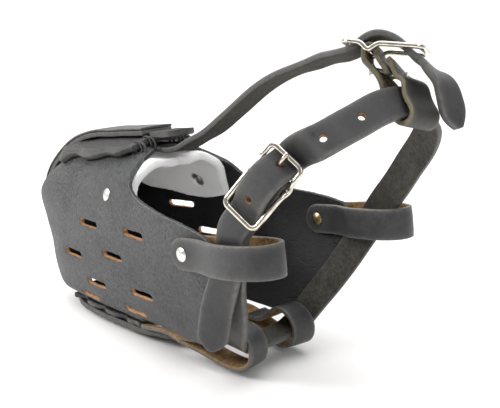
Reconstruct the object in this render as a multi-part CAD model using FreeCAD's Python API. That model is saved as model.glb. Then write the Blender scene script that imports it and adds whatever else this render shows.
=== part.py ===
import FreeCAD, Part
import math, os

# Leather working muzzle for a large dog: closed shell with vent slots, felt-lined bridge,
# chin plate, two chin loops, two cheek keepers, a neck strap and a forehead strap,
# each closed by a double-bar buckle.
# Frame: +Z up, +Y towards the dog's neck, +X the dog's left side. Millimetres.
# Origin: centre of the bounding box, on the ground.

V = FreeCAD.Vector
os.makedirs("parts", exist_ok=True)

# ---- driving dimensions -------------------------------------------------------
PANEL_T = 3.4            # side panel leather
STRAP_W = 19.0           # strap width, 3/4 inch
STRAP_T = 4.0            # strap leather
KEEPER_T = 3.0           # cheek keeper leather
BRIDGE_T = 4.2           # bridge plate leather
CHIN_T = 4.6             # chin plate leather
FELT_T = 6.0             # nose felt
GAP = 0.25               # clearance between neighbouring layers
HOLE_R = 2.4             # strap holes
HOLE_PITCH = 25.4        # 1 inch
SLOT_L, SLOT_H = 24.0, 4.2
SLOTS = [(-113.5, 71.4), (-53.4, 77.4), (-139.5, 44.3), (-84.0, 55.3),
         (-110.0, 29.0), (-52.3, 36.6), (-124.0, 15.5), (-66.0, 20.0)]
KEEPER_RIVET = (10.3, 81.0)      # y, z of the cheek keeper rivets
NOSE_RIVET = (-89.0, 96.0)       # y, z of the felt rivets
RIVET_POST_R = 1.9
RIVET_CAP_R = 4.2
BUCKLE_L, BUCKLE_W = 45.0, 26.5  # outside of the buckle frames
ROD_W, ROD_T = 3.2, 2.8          # buckle rod
PIVOT_A = 6.75                   # pivot bar, from the frame's middle towards the tongue's end
PIVOT_DROP = 3.5                 # pivot bar below the frame's plane
PIVOT_R = 1.4
TONGUE_R = 1.3
FLOOR_Z = -2.5                   # ground in the working frame

# shift from the working frame to the row frame
SHIFT = V(0, 0, 0)


def vec(p):
    return V(*p)


def unit(v):
    v = V(v)
    v.normalize()
    return v


def interp(xs, ys, x):
    """Piecewise linear."""
    if x <= xs[0]:
        return ys[0]
    for i in range(len(xs) - 1):
        if x <= xs[i + 1]:
            f = (x - xs[i]) / (xs[i + 1] - xs[i])
            return ys[i] + f * (ys[i + 1] - ys[i])
    return ys[-1]


def smooth(ts, vs, u, ends=False):
    """Cubic through vectors vs at parameters ts, with limited slopes."""
    if u <= ts[0]:
        return V(vs[0])
    if u >= ts[-1]:
        return V(vs[-1])
    k = 0
    while u > ts[k + 1]:
        k += 1

    def slope(i):
        if i == 0:
            return (vs[1] - vs[0]) * (1.0 / (ts[1] - ts[0])) if ends else V(0, 0, 0)
        if i == len(ts) - 1:
            return (vs[-1] - vs[-2]) * (1.0 / (ts[-1] - ts[-2])) if ends else V(0, 0, 0)
        return (vs[i + 1] - vs[i - 1]) * (1.0 / (ts[i + 1] - ts[i - 1]))

    h = ts[k + 1] - ts[k]
    f = (u - ts[k]) / h
    a, b = vs[k], vs[k + 1]
    m0, m1 = slope(k) * h, slope(k + 1) * h
    return (a * (2 * f ** 3 - 3 * f * f + 1) + m0 * (f ** 3 - 2 * f * f + f) + b * (-2 * f ** 3 + 3 * f * f) + m1 * (f ** 3 - f * f))


def spline_through(pts, params):
    c = Part.BSplineCurve()
    c.interpolate(Points=pts, Parameters=params)
    return c


def chord_params(pts):
    t = [0.0]
    for a, b in zip(pts, pts[1:]):
        t.append(t[-1] + (b - a).Length)
    return [x / t[-1] for x in t]


def solid_of(faces):
    sh = Part.makeShell(faces)
    sh.sewShape()
    s = Part.makeSolid(Part.Shell(sh.Faces) if sh.ShapeType != "Shell" else sh)
    if s.Volume < 0:
        s.reverse()
    return s


class Band:
    """A strap of leather: a centre line with the direction of its width at each station."""

    def __init__(self, stations, width=STRAP_W, thick=STRAP_T, n=4, start=None, end=None):
        # stations: (x, y, z, wx, wy, wz[, width, thick])
        self.P = [V(*s[:3]) for s in stations]
        self.t = chord_params(self.P)
        self.c = spline_through(self.P, self.t)
        self.W = [unit(V(*s[3:6])) for s in stations]
        self.width = [s[6] if len(s) > 6 else width for s in stations]
        self.thick = [s[7] if len(s) > 7 else thick for s in stations]
        self.n = n
        self.start, self.end = start, end
        self.length = self.c.length()

    def at(self, u):
        """Centre, along, width and outward unit vectors at parameter u."""
        p = self.c.value(u)
        T = unit(self.c.tangent(u)[0])
        w = smooth(self.t, self.W, u)
        w = unit(w - T * w.dot(T))
        return p, T, w, unit(w.cross(T))

    def u_at_length(self, s):
        return self.c.parameterAtDistance(s, 0.0)

    def taper(self, s, kind, r):
        """Share of the half width at distance s from an end."""
        if kind is None or s >= r:
            return 1.0
        if kind == "round":
            return max(0.12, math.sqrt(max(0.0, 1 - ((r - s) / r) ** 2)))
        if kind == "point":
            return max(0.16, 1 - ((r - s) / r) ** 1.7)
        return 1.0

    def solid(self, lo=0.0, hi=1.0):
        L = self.length
        us = []
        for a, b in zip(self.t, self.t[1:]):
            us += [a + (b - a) * j / self.n for j in range(self.n)]
        us.append(1.0)
        for kind, side in ((self.start, 0), (self.end, 1)):
            if kind:
                for f in (0.02, 0.07, 0.16, 0.3, 0.5, 0.75, 1.0):
                    d = kind[1] * f
                    us.append(self.u_at_length(d if side == 0 else L - d))
        us = [lo] + [u for u in us if lo < u < hi] + [hi]
        out = []
        for u in sorted(us):
            if not out or (u - out[-1]) * L > 0.12:
                out.append(u)
        out[-1] = hi
        pr = [(u - lo) / (hi - lo) for u in out]
        cor = [[], [], [], []]
        for u in out:
            p, T, w, N = self.at(u)
            hw = interp(self.t, self.width, u) / 2.0
            ht = interp(self.t, self.thick, u) / 2.0
            if self.start or self.end:
                s = self.c.length(0, u) if u > 0 else 0.0
                if self.start:
                    hw *= self.taper(s, self.start[0], self.start[1])
                if self.end:
                    hw *= self.taper(L - s, self.end[0], self.end[1])
            cor[0].append(p - w * hw - N * ht)
            cor[1].append(p + w * hw - N * ht)
            cor[2].append(p + w * hw + N * ht)
            cor[3].append(p - w * hw + N * ht)
        ed = [spline_through(c, pr).toShape() for c in cor]
        faces = [Part.makeRuledSurface(ed[i], ed[(i + 1) % 4], 1) for i in range(4)]
        for k in (0, -1):
            q = [c[k] for c in cor]
            faces.append(Part.Face(Part.makePolygon(q + [q[0]])))
        return solid_of(faces)

    def near(self, p):
        return self.c.parameter(p)

    def punch(self, p, r=HOLE_R, depth=12.0):
        """Round hole through the strap at the point of its centre line nearest p."""
        q, T, w, N = self.at(self.near(p))
        return Part.makeCylinder(r, depth, q - N * depth / 2.0, N)


def frame_solid(shape, C, a, b, c):
    """Places a shape made in local axes (a along, b across, c up) at C."""
    b = c.cross(a)
    m = FreeCAD.Matrix(a.x, b.x, c.x, C.x, a.y, b.y, c.y, C.y, a.z, b.z, c.z, C.z, 0, 0, 0, 1)
    s = shape.copy()
    s.Placement = FreeCAD.Placement(m)
    return s


# ---- the shell ------------------------------------------------------------------
# Outer surface of the left side panel, as sections from the neck end to the front seam.
# Girth points run from the hem under the chin up to the bridge.
SECT = {
    44: [(30, 10), (36, 9), (41, 14), (48, 28), (53.5, 45), (57.5, 60), (60.5, 76), (61.5, 88), (61.5, 98), (60, 110), (55, 122)],
    15: [(30, 10.5), (36, 10), (41, 14.5), (47, 28), (51.5, 45), (56, 60), (59.5, 76), (60.3, 88), (60, 98), (57.5, 110), (51, 122)],
    -15: [(29, 11), (35, 10.7), (39.5, 14.5), (45.5, 28), (49.5, 45), (53.3, 60), (56.2, 76), (56.8, 88), (55.8, 98), (52.5, 110), (43, 122)],
    -53: [(27, 11.3), (33, 10.9), (37.8, 14.3), (44.2, 28), (46.8, 45), (48.9, 60), (50.6, 76), (50.8, 88), (49.6, 98), (45.5, 110), (20, 124)],
    -73: [(26, 11.3), (32.5, 10.9), (37.2, 14.2), (42.5, 28), (44.9, 45), (46.8, 60), (48, 76), (48, 88), (46.6, 98), (42.5, 110), (15, 125.5)],
    -95: [(25.5, 11.3), (32, 10.9), (36.8, 14.2), (41, 28), (42.9, 45), (44.4, 60), (45.2, 76), (44.6, 88), (42, 98), (36, 109), (14, 123.3)],
    -113: [(25, 11.3), (31.4, 10.9), (35.8, 14.1), (39.8, 28), (41.5, 45), (42.5, 60), (42.6, 76), (41.2, 88), (37.6, 98), (31.4, 108), (13, 121)],
    -140: [(23, 11.0), (29, 10.4), (33.4, 13.6), (36.7, 28), (38, 45), (38.7, 60), (38.6, 76), (36.6, 87), (32.5, 96), (27.3, 105), (12, 116.8)],
    -165: [(19, 10.0), (24.5, 9.0), (28.8, 12.6), (32.6, 28), (34, 45), (35.2, 60), (35.6, 76), (33.4, 86), (29.8, 94), (25.2, 102.3), (11, 111.8)],
}
SECT_Y = [44, 15, -15, -53, -73, -95, -113, -140, -165]
CORNER = [(15, -168, 9.5), (18, -173, 8.0), (21, -178.5, 12), (22.5, -186.5, 28), (23, -190.5, 45), (24, -196, 60), (24.5, -202.5, 76), (23, -196.5, 87), (20.5, -186.5, 96), (17, -177, 103), (9, -171, 109.5)]
FRONT = [(0.35, -170, 9.5), (0.35, -177, 8.0), (0.35, -184, 12), (0.35, -192.5, 28), (0.35, -197, 45), (0.35, -202.5, 60), (0.35, -208, 76), (0.35, -202.5, 87), (0.35, -192.5, 96), (0.35, -183, 103), (0.35, -175, 109.5)]


def panel_grid():
    rows = [[V(x, y, z) for x, z in SECT[y]] for y in SECT_Y]
    rows.append([V(*p) for p in CORNER])
    rows.append([V(*p) for p in FRONT])
    return rows


def grid_surface(rows):
    s = Part.BSplineSurface()
    s.interpolate(rows)
    return s


def dense(surf, nu, nv, u0=0.0, u1=1.0, v0=0.0, v1=1.0, off=0.0, outward=None):
    """Points on a surface, moved along its normal."""
    ub = surf.bounds()
    out = []
    for i in range(nu + 1):
        row = []
        u = ub[0] + (ub[1] - ub[0]) * (u0 + (u1 - u0) * i / nu)
        for j in range(nv + 1):
            v = ub[2] + (ub[3] - ub[2]) * (v0 + (v1 - v0) * j / nv)
            p = surf.value(u, v)
            if off:
                n = surf.normal(u, v)
                if outward and n.dot(outward(p)) < 0:
                    n = n * -1
                p = p + n * off
            row.append(p)
        out.append(row)
    return out


def slab(outer, inner):
    """Closed solid between two point grids of the same size."""
    so, si = grid_surface(outer), grid_surface(inner)
    fo, fi = so.toShape(), si.toShape()
    faces = [fo, fi]
    for k in (0, 1):
        for so_e, si_e in ((so.uIso(so.bounds()[k]), si.uIso(si.bounds()[k])),
                           (so.vIso(so.bounds()[2 + k]), si.vIso(si.bounds()[2 + k]))):
            faces.append(Part.makeRuledSurface(so_e.toShape(), si_e.toShape(), 1))
    return solid_of(faces)


def out_dir(p):
    return V(max(p.x, 3.0), 0 if p.y > -160 else (p.y + 160) * 1.6, (p.z - 62) * 0.6)


def mean_params(rows):
    n = len(rows[0])
    acc = [0.0] * n
    for r in rows:
        t = chord_params(r)
        acc = [a + b / len(rows) for a, b in zip(acc, t)]
    return acc


def fine_grid(rows, nu, nv):
    """Smooth bicubic refinement of a grid of points."""
    tv = mean_params(rows)
    cols = [[r[j] for r in rows] for j in range(len(rows[0]))]
    tu = mean_params(cols)
    mid = [[smooth(tv, r, j / float(nv), True) for j in range(nv + 1)] for r in rows]
    out = []
    for i in range(nu + 1):
        u = i / float(nu)
        out.append([smooth(tu, [m[j] for m in mid], u, True) for j in range(nv + 1)])
    return out


def pole_surface(grid):
    """Cubic surface controlled by a fine grid of points."""
    nu, nv = len(grid), len(grid[0])
    ku = [float(k) for k in range(nu - 2)]
    kv = [float(k) for k in range(nv - 2)]
    s = Part.BSplineSurface()
    s.buildFromPolesMultsKnots(grid, [4] + [1] * (nu - 4) + [4], [4] + [1] * (nv - 4) + [4], ku, kv, False, False, 3, 3)
    return s


def grid_offset(grid, d, outward):
    out = []
    nu, nv = len(grid), len(grid[0])
    for i in range(nu):
        row = []
        for j in range(nv):
            a = grid[min(i + 1, nu - 1)][j] - grid[max(i - 1, 0)][j]
            b = grid[i][min(j + 1, nv - 1)] - grid[i][max(j - 1, 0)]
            n = unit(a.cross(b))
            p = grid[i][j]
            if n.dot(outward(p)) < 0:
                n = n * -1
            row.append(p + n * d)
        out.append(row)
    return out


po = fine_grid(panel_grid(), 36, 40)
outer_surf = pole_surface(po)
pi = grid_offset(po, -PANEL_T, out_dir)
for i, row in enumerate(pi):          # the front seam stays on its own side
    for j, p in enumerate(row):
        if p.x < 0.35 or i == len(pi) - 1:
            pi[i][j] = V(0.35, p.y, p.z)
so, si = pole_surface(po), pole_surface(pi)
faces = [so.toShape(), si.toShape()]
for k in (0, 1):
    for ea, eb in ((so.uIso(so.bounds()[k]), si.uIso(si.bounds()[k])), (so.vIso(so.bounds()[2 + k]), si.vIso(si.bounds()[2 + k]))):
        faces.append(Part.makeRuledSurface(ea.toShape(), eb.toShape(), 1))
raw_panel = solid_of(faces)

# side outline: neck edge, cheek corner, eye cut-out and bridge; the hem stays below the chin
OUT_TOP = [(-73, 128.5), (-72.5, 117.5), (-66, 110.5), (-57, 103), (-41, 99), (-15, 97), (9, 96), (22, 94.5)]
OUT_REAR = [(30.5, 90), (33, 84), (31, 72), (22, 57), (15, 44), (9, 30), (2.5, 16)]


def outline_prism(x0, x1):
    a = spline_through([V(x0, y, z) for y, z in OUT_TOP], chord_params([V(0, y, z) for y, z in OUT_TOP])).toShape()
    rear = [OUT_TOP[-1]] + OUT_REAR
    b = spline_through([V(x0, y, z) for y, z in rear], chord_params([V(0, y, z) for y, z in rear])).toShape()
    pts = [V(x0, 2.5, 16), V(x0, -62.5, 15.6), V(x0, -66, 5), V(x0, -260, 5), V(x0, -260, 140), V(x0, -73, 140), V(x0, -73, 128.5)]
    lines = [Part.makeLine(p, q) for p, q in zip(pts, pts[1:])]
    w = Part.Wire(Part.__sortEdges__([a, b] + lines))
    return Part.Face(w).extrude(V(x1 - x0, 0, 0))


def surf_at(y, z):
    """Outer panel surface point, normal, tangent along the length, at a given y and z."""
    b = outer_surf.bounds()
    u, v = 0.5, 0.5
    best = None
    for i in range(61):
        for j in range(61):
            uu, vv = i / 60.0, j / 60.0
            p = outer_surf.value(b[0] + (b[1] - b[0]) * uu, b[2] + (b[3] - b[2]) * vv)
            d = (p.y - y) ** 2 + (p.z - z) ** 2
            if p.x > 5 and (best is None or d < best[0]):
                best = (d, uu, vv)
    _, u, v = best
    step = 1 / 60.0
    for _ in range(14):
        step *= 0.6
        for du in (-1, 0, 1):
            for dv in (-1, 0, 1):
                uu, vv = min(1, max(0, u + du * step)), min(1, max(0, v + dv * step))
                p = outer_surf.value(b[0] + (b[1] - b[0]) * uu, b[2] + (b[3] - b[2]) * vv)
                d = (p.y - y) ** 2 + (p.z - z) ** 2
                if d < best[0]:
                    best = (d, uu, vv)
        _, u, v = best
    uu, vv = b[0] + (b[1] - b[0]) * u, b[2] + (b[3] - b[2]) * v
    p = outer_surf.value(uu, vv)
    n = outer_surf.normal(uu, vv)
    if n.dot(out_dir(p)) < 0:
        n = n * -1
    t = V(0, 1, 0) - n * n.y
    return p, unit(n), unit(t)


panel = raw_panel.common(outline_prism(-5, 75))
cuts = []
for y, z in SLOTS:
    p, n, t = surf_at(y, z)
    rise = math.radians(3.5)
    k = unit(n.cross(t))
    if k.z < 0:
        k = k * -1
    t2 = unit(t * math.cos(rise) + k * math.sin(rise))
    k2 = unit(k * math.cos(rise) - t * math.sin(rise))
    h = SLOT_H if z > 25 else 3.4
    box = Part.makeBox(SLOT_L - h, h, 16, V(-(SLOT_L - h) / 2.0, -h / 2.0, -8))
    for e in (-1, 1):
        box = box.fuse(Part.makeCylinder(h / 2.0, 16, V(e * (SLOT_L - h) / 2.0, 0, -8)))
    cuts.append(frame_solid(box, p, t2, k2, n))
kp, kn, kt = surf_at(*KEEPER_RIVET)
np_, nn, nt = surf_at(*NOSE_RIVET)
kn = V(1, 0, 0)       # the keeper swings about this axis, square to the middle plane
cuts.append(Part.makeCylinder(RIVET_POST_R + 0.02, 24, kp - kn * 12, kn))
cuts.append(Part.makeCylinder(RIVET_POST_R + 0.02, 24, np_ - nn * 12, nn))
for c in cuts:
    panel = panel.cut(c)
if panel.ShapeType == "Compound":
    panel = max(panel.Solids, key=lambda s: s.Volume)


def mirror(s):
    return s.mirror(V(0, 0, 0), V(1, 0, 0))


nodes = {}


def put(name, shape):
    nodes[name] = shape


put("left_side_panel", panel)
put("right_side_panel", mirror(panel))


# ---- rivets -----------------------------------------------------------------------
def rivet(p, n, lo, hi, post=RIVET_POST_R, cap=RIVET_CAP_R, cap_h=1.3):
    """Post from lo to hi along n, with a domed cap outside each end."""
    s = Part.makeCylinder(post, hi - lo, p + n * lo, n)
    R = (cap * cap + cap_h * cap_h) / (2 * cap_h)
    for base, d in ((p + n * hi, n), (p + n * lo, n * -1)):
        ball = Part.makeSphere(R, base + d * (cap_h - R))
        disc = Part.makeCylinder(cap, cap_h + 0.4, base, d)
        s = s.fuse(ball.common(disc))
    return s.removeSplitter()


# keeper legs lie on both faces of the panel at the keeper rivet
KX_OUT = kp.x + 0.3 + KEEPER_T / 2.0 + 1.2
KX_IN = kp.x - PANEL_T - 0.3 - KEEPER_T / 2.0 - 1.9
ky, kz = KEEPER_RIVET
keeper_rivet = rivet(V(0, ky, kz), V(1, 0, 0), KX_IN - KEEPER_T / 2.0 - 0.25, KX_OUT + KEEPER_T / 2.0 + 0.25)
put("left_keeper_rivet", keeper_rivet)
put("right_keeper_rivet", mirror(keeper_rivet))

# ---- cheek keepers -------------------------------------------------------------------
tilt = math.radians(8.2)
kw = (0, -math.sin(tilt), math.cos(tilt))


def kpt(x, d):
    """Point of the keeper's centre line: d mm behind the rivet."""
    return (x, ky + d * math.cos(tilt), kz + d * math.sin(tilt)) + kw


KEEP = [kpt(KX_OUT, -9.5), kpt(KX_OUT, 0), kpt(KX_OUT + 0.6, 12), kpt(KX_OUT + 5.0, 26), kpt(KX_OUT + 7.8, 42),
        kpt(KX_OUT + 5.2, 58), kpt(KX_OUT - 2.2, 68.5), kpt(KX_OUT - 11, 69.0), kpt(KX_OUT - 17.5, 60), kpt(KX_OUT - 18.2, 46),
        kpt(KX_IN - 6.3, 30), kpt(KX_IN - 1.4, 18), kpt(KX_IN, 8), kpt(KX_IN, 0), kpt(KX_IN, -9.5)]
keeper_band = Band(KEEP, STRAP_W, KEEPER_T, n=4, start=("round", 9.0), end=("round", 9.0))
keeper = keeper_band.solid()
keeper = keeper.cut(Part.makeCylinder(RIVET_POST_R + 0.06, 60, V(30, ky, kz), V(1, 0, 0)))
put("left_cheek_keeper", keeper)
put("right_cheek_keeper", mirror(keeper))

# ---- bridge plate, nose strap and tab ---------------------------------------------------
b = outer_surf.bounds()


def arch(y, x):
    """Height of the shell's outer face near the ridge, closed over the middle."""
    ys = [-178, -165, -140, -113, -95, -73, -60]
    tab = {-178: [(0, 107.5), (9, 106.5), (17, 102.0), (24, 94)], -165: [(0, 113.3), (11, 111.8), (18, 108.3), (25.2, 102.3)],
           -140: [(0, 118.6), (12, 116.8), (20, 112.4), (27.3, 105)], -113: [(0, 122.8), (13, 121), (22, 116.4), (31.4, 108)],
           -95: [(0, 125.2), (14, 123.3), (25, 118.6), (36, 109)], -73: [(0, 127.2), (15, 125.5), (28, 121), (42.5, 110)],
           -60: [(0, 128.0), (16, 126.2), (29, 121.6), (44, 110)]}
    vals = []
    for yy in ys:
        t = tab[yy]
        vals.append(interp([a for a, _ in t], [z for _, z in t], abs(x)))
    return interp(ys, vals, y)


def ridge_slab(stations, lift, thick, nx=10):
    """Plate lying over the ridge. stations: (y, half width)."""
    outer, inner = [], []
    for y, hw in stations:
        ro, ri = [], []
        for i in range(nx + 1):
            x = -hw + 2 * hw * i / nx
            z = arch(y, x) + lift
            dx = 0.4
            n = unit(V(-(arch(y, x + dx) - arch(y, x - dx)), -(arch(y + 1, x) - arch(y - 1, x)) * dx, 2 * dx))
            ri.append(V(x, y, z))
            ro.append(V(x, y, z) + n * thick)
        outer.append(ro)
        inner.append(ri)
    return slab(outer, inner)


bridge = ridge_slab([(-171.5, 20.5), (-160, 22.5), (-150, 22), (-140, 24.5), (-128, 25.5), (-116, 24.5), (-104, 26), (-92, 26), (-84, 24)], 1.0, BRIDGE_T)
put("bridge_plate", bridge)

NOSE = [(0, -90, 134.6), (0, -101, 133.0), (0, -114, 131.2), (0, -128, 129.0), (0, -142, 127.2), (0, -156, 123.8), (0, -169, 119.0), (0, -181, 112.2),
        (0, -192, 104.0), (0, -201, 95.5), (0, -207.5, 87.0), (0, -211.0, 76.5), (0, -207.5, 65), (0, -202.8, 52), (0, -199.8, 38), (0, -195.5, 25), (0, -189.0, 14)]
nose_strap = Band([p + (1, 0, 0) for p in NOSE], 26.0, 3.6, n=3, end=("round", 10)).solid()
nose_strap = nose_strap.cut(bridge)
put("nose_strap", nose_strap)

TAB = [(0, -82.6, 132.2), (0, -80, 132.6), (0, -72, 133.6), (0, -60, 135.8)]
put("bridge_tab", Band([p + (1, 0, 0) for p in TAB], 24.0, 4.2, n=3, end=("round", 7)).solid())

# ---- nose felt ---------------------------------------------------------------------------
fy = [-66, -80, -95, -110, -126, -142]
fo, fi = [], []
for y in fy:
    lo_z = {-66: 84, -80: 80, -95: 80, -110: 82, -126: 84, -142: 88}[y]
    half = []
    # panel section interpolated at y
    ks = sorted(SECT)
    for k0, k1 in zip(ks, ks[1:]):
        if k0 <= y <= k1:
            f = (y - k0) / float(k1 - k0)
            sec = [(a[0] + f * (c[0] - a[0]), a[1] + f * (c[1] - a[1])) for a, c in zip(SECT[k0], SECT[k1])]
    sec = [s for s in sec if s[1] >= 58] + [(0, arch(y, 0))]
    pts = [V(x, y, z) for x, z in sec]
    pts = pts + [V(-p.x, p.y, p.z) for p in reversed(pts[:-1])]
    cv = spline_through(pts, chord_params(pts))
    us = [i / 60.0 for i in range(61)]
    prof = [cv.value(u) for u in us]
    keep = [p for p in prof if p.z >= lo_z]
    m = 14
    L = [0.0]
    for a, c in zip(keep, keep[1:]):
        L.append(L[-1] + (c - a).Length)
    ro, ri = [], []
    for i in range(m + 1):
        s = L[-1] * i / m
        x = interp(L, [p.x for p in keep], s)
        z = interp(L, [p.z for p in keep], s)
        x2 = interp(L, [p.x for p in keep], min(L[-1], s + 1.5))
        z2 = interp(L, [p.z for p in keep], min(L[-1], s + 1.5))
        x1 = interp(L, [p.x for p in keep], max(0, s - 1.5))
        z1 = interp(L, [p.z for p in keep], max(0, s - 1.5))
        n = unit(V(-(z2 - z1), 0, (x2 - x1)))
        if n.dot(V(x, 0, z - 60)) < 0:
            n = n * -1
        low = PANEL_T + 1.7 + 3.5 * max(0.0, 1 - max(0.0, abs(x) - 10.5) / 9.0) * max(0.0, min(1.0, (y + 100) / 12.0))
        ro.append(V(x, y, z) - n * low)
        ri.append(V(x, y, z) - n * (low + FELT_T))
    fo.append(ro)
    fi.append(ri)
felt = slab(fo, fi)
for sx in (1, -1):
    q = V(np_.x * sx, np_.y, np_.z)
    m = V(nn.x * sx, nn.y, nn.z)
    felt = felt.cut(Part.makeCylinder(RIVET_POST_R + 0.02, 30, q - m * 22, m))
    felt = felt.cut(Part.makeCylinder(RIVET_CAP_R + 0.3, 12, q - m * (PANEL_T + 1.7 + FELT_T - 1.6), m * -1))
nose_rivet = rivet(np_, nn, -(PANEL_T + 1.7 + FELT_T - 1.9), 0.2)
felt = felt.cut(panel).cut(mirror(panel)).cut(nose_rivet).cut(mirror(nose_rivet))
if len(felt.Solids) > 1:
    felt = max(felt.Solids, key=lambda q: q.Volume)
put("nose_felt_lining", felt)
put("left_nose_rivet", nose_rivet)
put("right_nose_rivet", mirror(nose_rivet))

# ---- chin plate and welts --------------------------------------------------------------------
CH_Y = [-172, -164, -152, -138, -125, -112, -98, -85, -72, -58, -46, -38]
CH_Z = [2.6, 0.4, -1.4, -2.3, -2.5, -2.5, -2.5, -2.5, -1.9, -0.4, 1.6, 3.0]
CH_W = [15, 19.5, 25.5, 29.5, 31.5, 32.5, 33, 33, 33, 32.5, 31.5, 29.5]


def chin_z(y, x):
    cup = 3.2 * max(0.0, (abs(x) - 17) / 16.0) ** 2
    return interp(CH_Y, CH_Z, y) + cup


def chin_slab(x0f, x1f, ys, lift, thick, nx=10):
    outer, inner = [], []
    for y in ys:
        lo, hi = x0f(y), x1f(y)
        ro, ri = [], []
        for i in range(nx + 1):
            x = lo + (hi - lo) * i / nx
            ri.append(V(x, y, chin_z(y, x) + lift))
            ro.append(V(x, y, chin_z(y, x) + lift + thick))
        outer.append(ro)
        inner.append(ri)
    return slab(outer, inner)


cw = lambda y: interp(CH_Y, CH_W, y)
plate = chin_slab(lambda y: -cw(y), lambda y: cw(y), CH_Y, 0.0, CHIN_T, nx=12)
# flat underside that the muzzle stands on
pad = Part.makeBox(26, 38, 2.3, V(-13, -124, FLOOR_Z - 0.3))
plate = plate.fuse(pad)
CHIN_RIVETS = [-144, -118, -92]
WELT_Y = [-156, -150, -144, -137.5, -131, -124.5, -118, -111.5, -105, -98.5, -92, -85.5, -79, -74, -69]


def welt_out(y):
    """Scalloped edge: set back at each rivet."""
    d = min(abs(y - r) for r in CHIN_RIVETS)
    return cw(y) + 0.8 - 4.2 * max(0.0, 1 - (d / 7.5) ** 2)


welt = chin_slab(lambda y: cw(y) - 13.5, welt_out, WELT_Y, CHIN_T + GAP, 3.6, nx=6)
chin_rivets = []
for y in CHIN_RIVETS:
    x = cw(y) - 7.5
    z0 = chin_z(y, x)
    hole = Part.makeCylinder(RIVET_POST_R + 0.02, 40, V(x, y, z0 - 10), V(0, 0, 1))
    welt = welt.cut(hole)
    plate = plate.cut(hole).cut(hole.mirror(V(0, 0, 0), V(1, 0, 0)))
    seat = Part.makeCylinder(3.9, 6, V(x, y, z0 + 1.5), V(0, 0, -1))
    plate = plate.cut(seat).cut(seat.mirror(V(0, 0, 0), V(1, 0, 0)))
    r = rivet(V(x, y, z0), V(0, 0, 1), 1.45, CHIN_T + GAP + 3.6 + 0.9, cap=3.6, cap_h=0.9)
    chin_rivets.append(r)
put("chin_plate", plate)
put("left_chin_welt", welt)
put("right_chin_welt", mirror(welt))
hem_holes = []
for name, sgn in (("left_chin_rivets", 1), ("right_chin_rivets", -1)):
    rs = [r if sgn > 0 else mirror(r) for r in chin_rivets]
    put(name, Part.makeCompound(rs))

# ---- chin loops -----------------------------------------------------------------------------
# each lies on the chin plate, runs back below the panel and turns over into a bulb
def loop(x, dx, yend, sgn):
    g = 1.0 if dx > 0 else 0.2
    c = [(x, -64.5, 7.2, 1, 0, 0.26), (x, -50, 9.2, 1, 0, 0.26), (x, -38, 11.0, 1, 0, 0.15), (x, -25, 9.4, 1, 0, 0.08),
         (x - 0.3 * dx, -12, 7.2, 1, 0, 0.05), (x - 0.5 * dx, 0, 4.6, 1, 0.05, 0.03), (x - 0.7 * dx, yend - 11, 2.7, 1, 0.1, 0), (x - 0.9 * dx, yend, 3.4, 1, 0.14, 0), (x - dx, yend + 7.0, 9.6, 1, 0.16, 0),
         (x - dx, yend + 7.2, 18.6, 1, 0.16, 0), (x - dx, yend + 0.5, 25.6, 1, 0.12, 0), (x - 0.9 * dx, yend - 9, 26.6, 1, 0.08, 0), (x - 0.7 * g * dx, -1, 21.0, 1, 0.04, 0),
         (x - 0.4 * g * dx, -10, 14.8, 1, 0, 0.03), (x - 0.15 * g * dx, -17, 13.1, 1, 0, 0.05), (x, -24, 13.0, 1, 0, 0.08)]
    if sgn > 0:
        return c
    return [(-p[0], p[1], p[2], p[3], -p[4], -p[5]) for p in c]


left_loop = Band(loop(29.0, 8.5, 21, 1), 17.0, 3.0, n=4)
right_loop = Band(loop(29.0, 4.0, 16, -1), 17.0, 3.0, n=4)
left_loop_solid, right_loop_solid = left_loop.solid(), right_loop.solid()
loop_rivets = []
for sgn in (1, -1):
    x, y = sgn * 29.0, -56.5
    z0 = chin_z(y, x)
    hole = Part.makeCylinder(RIVET_POST_R + 0.02, 40, V(x, y, z0 - 10), V(0, 0, 1))
    plate = plate.cut(hole).cut(Part.makeCylinder(3.9, 6, V(x, y, z0 + 1.5), V(0, 0, -1)))
    if sgn > 0:
        left_loop_solid = left_loop_solid.cut(hole)
    else:
        right_loop_solid = right_loop_solid.cut(hole)
    loop_rivets.append(rivet(V(x, y, z0), V(0, 0, 1), 1.45, 8.8, cap=3.6, cap_h=0.9))
for r in loop_rivets:
    left_loop_solid, right_loop_solid = left_loop_solid.cut(r), right_loop_solid.cut(r)
put("chin_plate", plate)
put("chin_loop_rivets", Part.makeCompound(loop_rivets))
put("left_chin_loop", left_loop_solid)
put("right_chin_loop", right_loop_solid)


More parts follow.
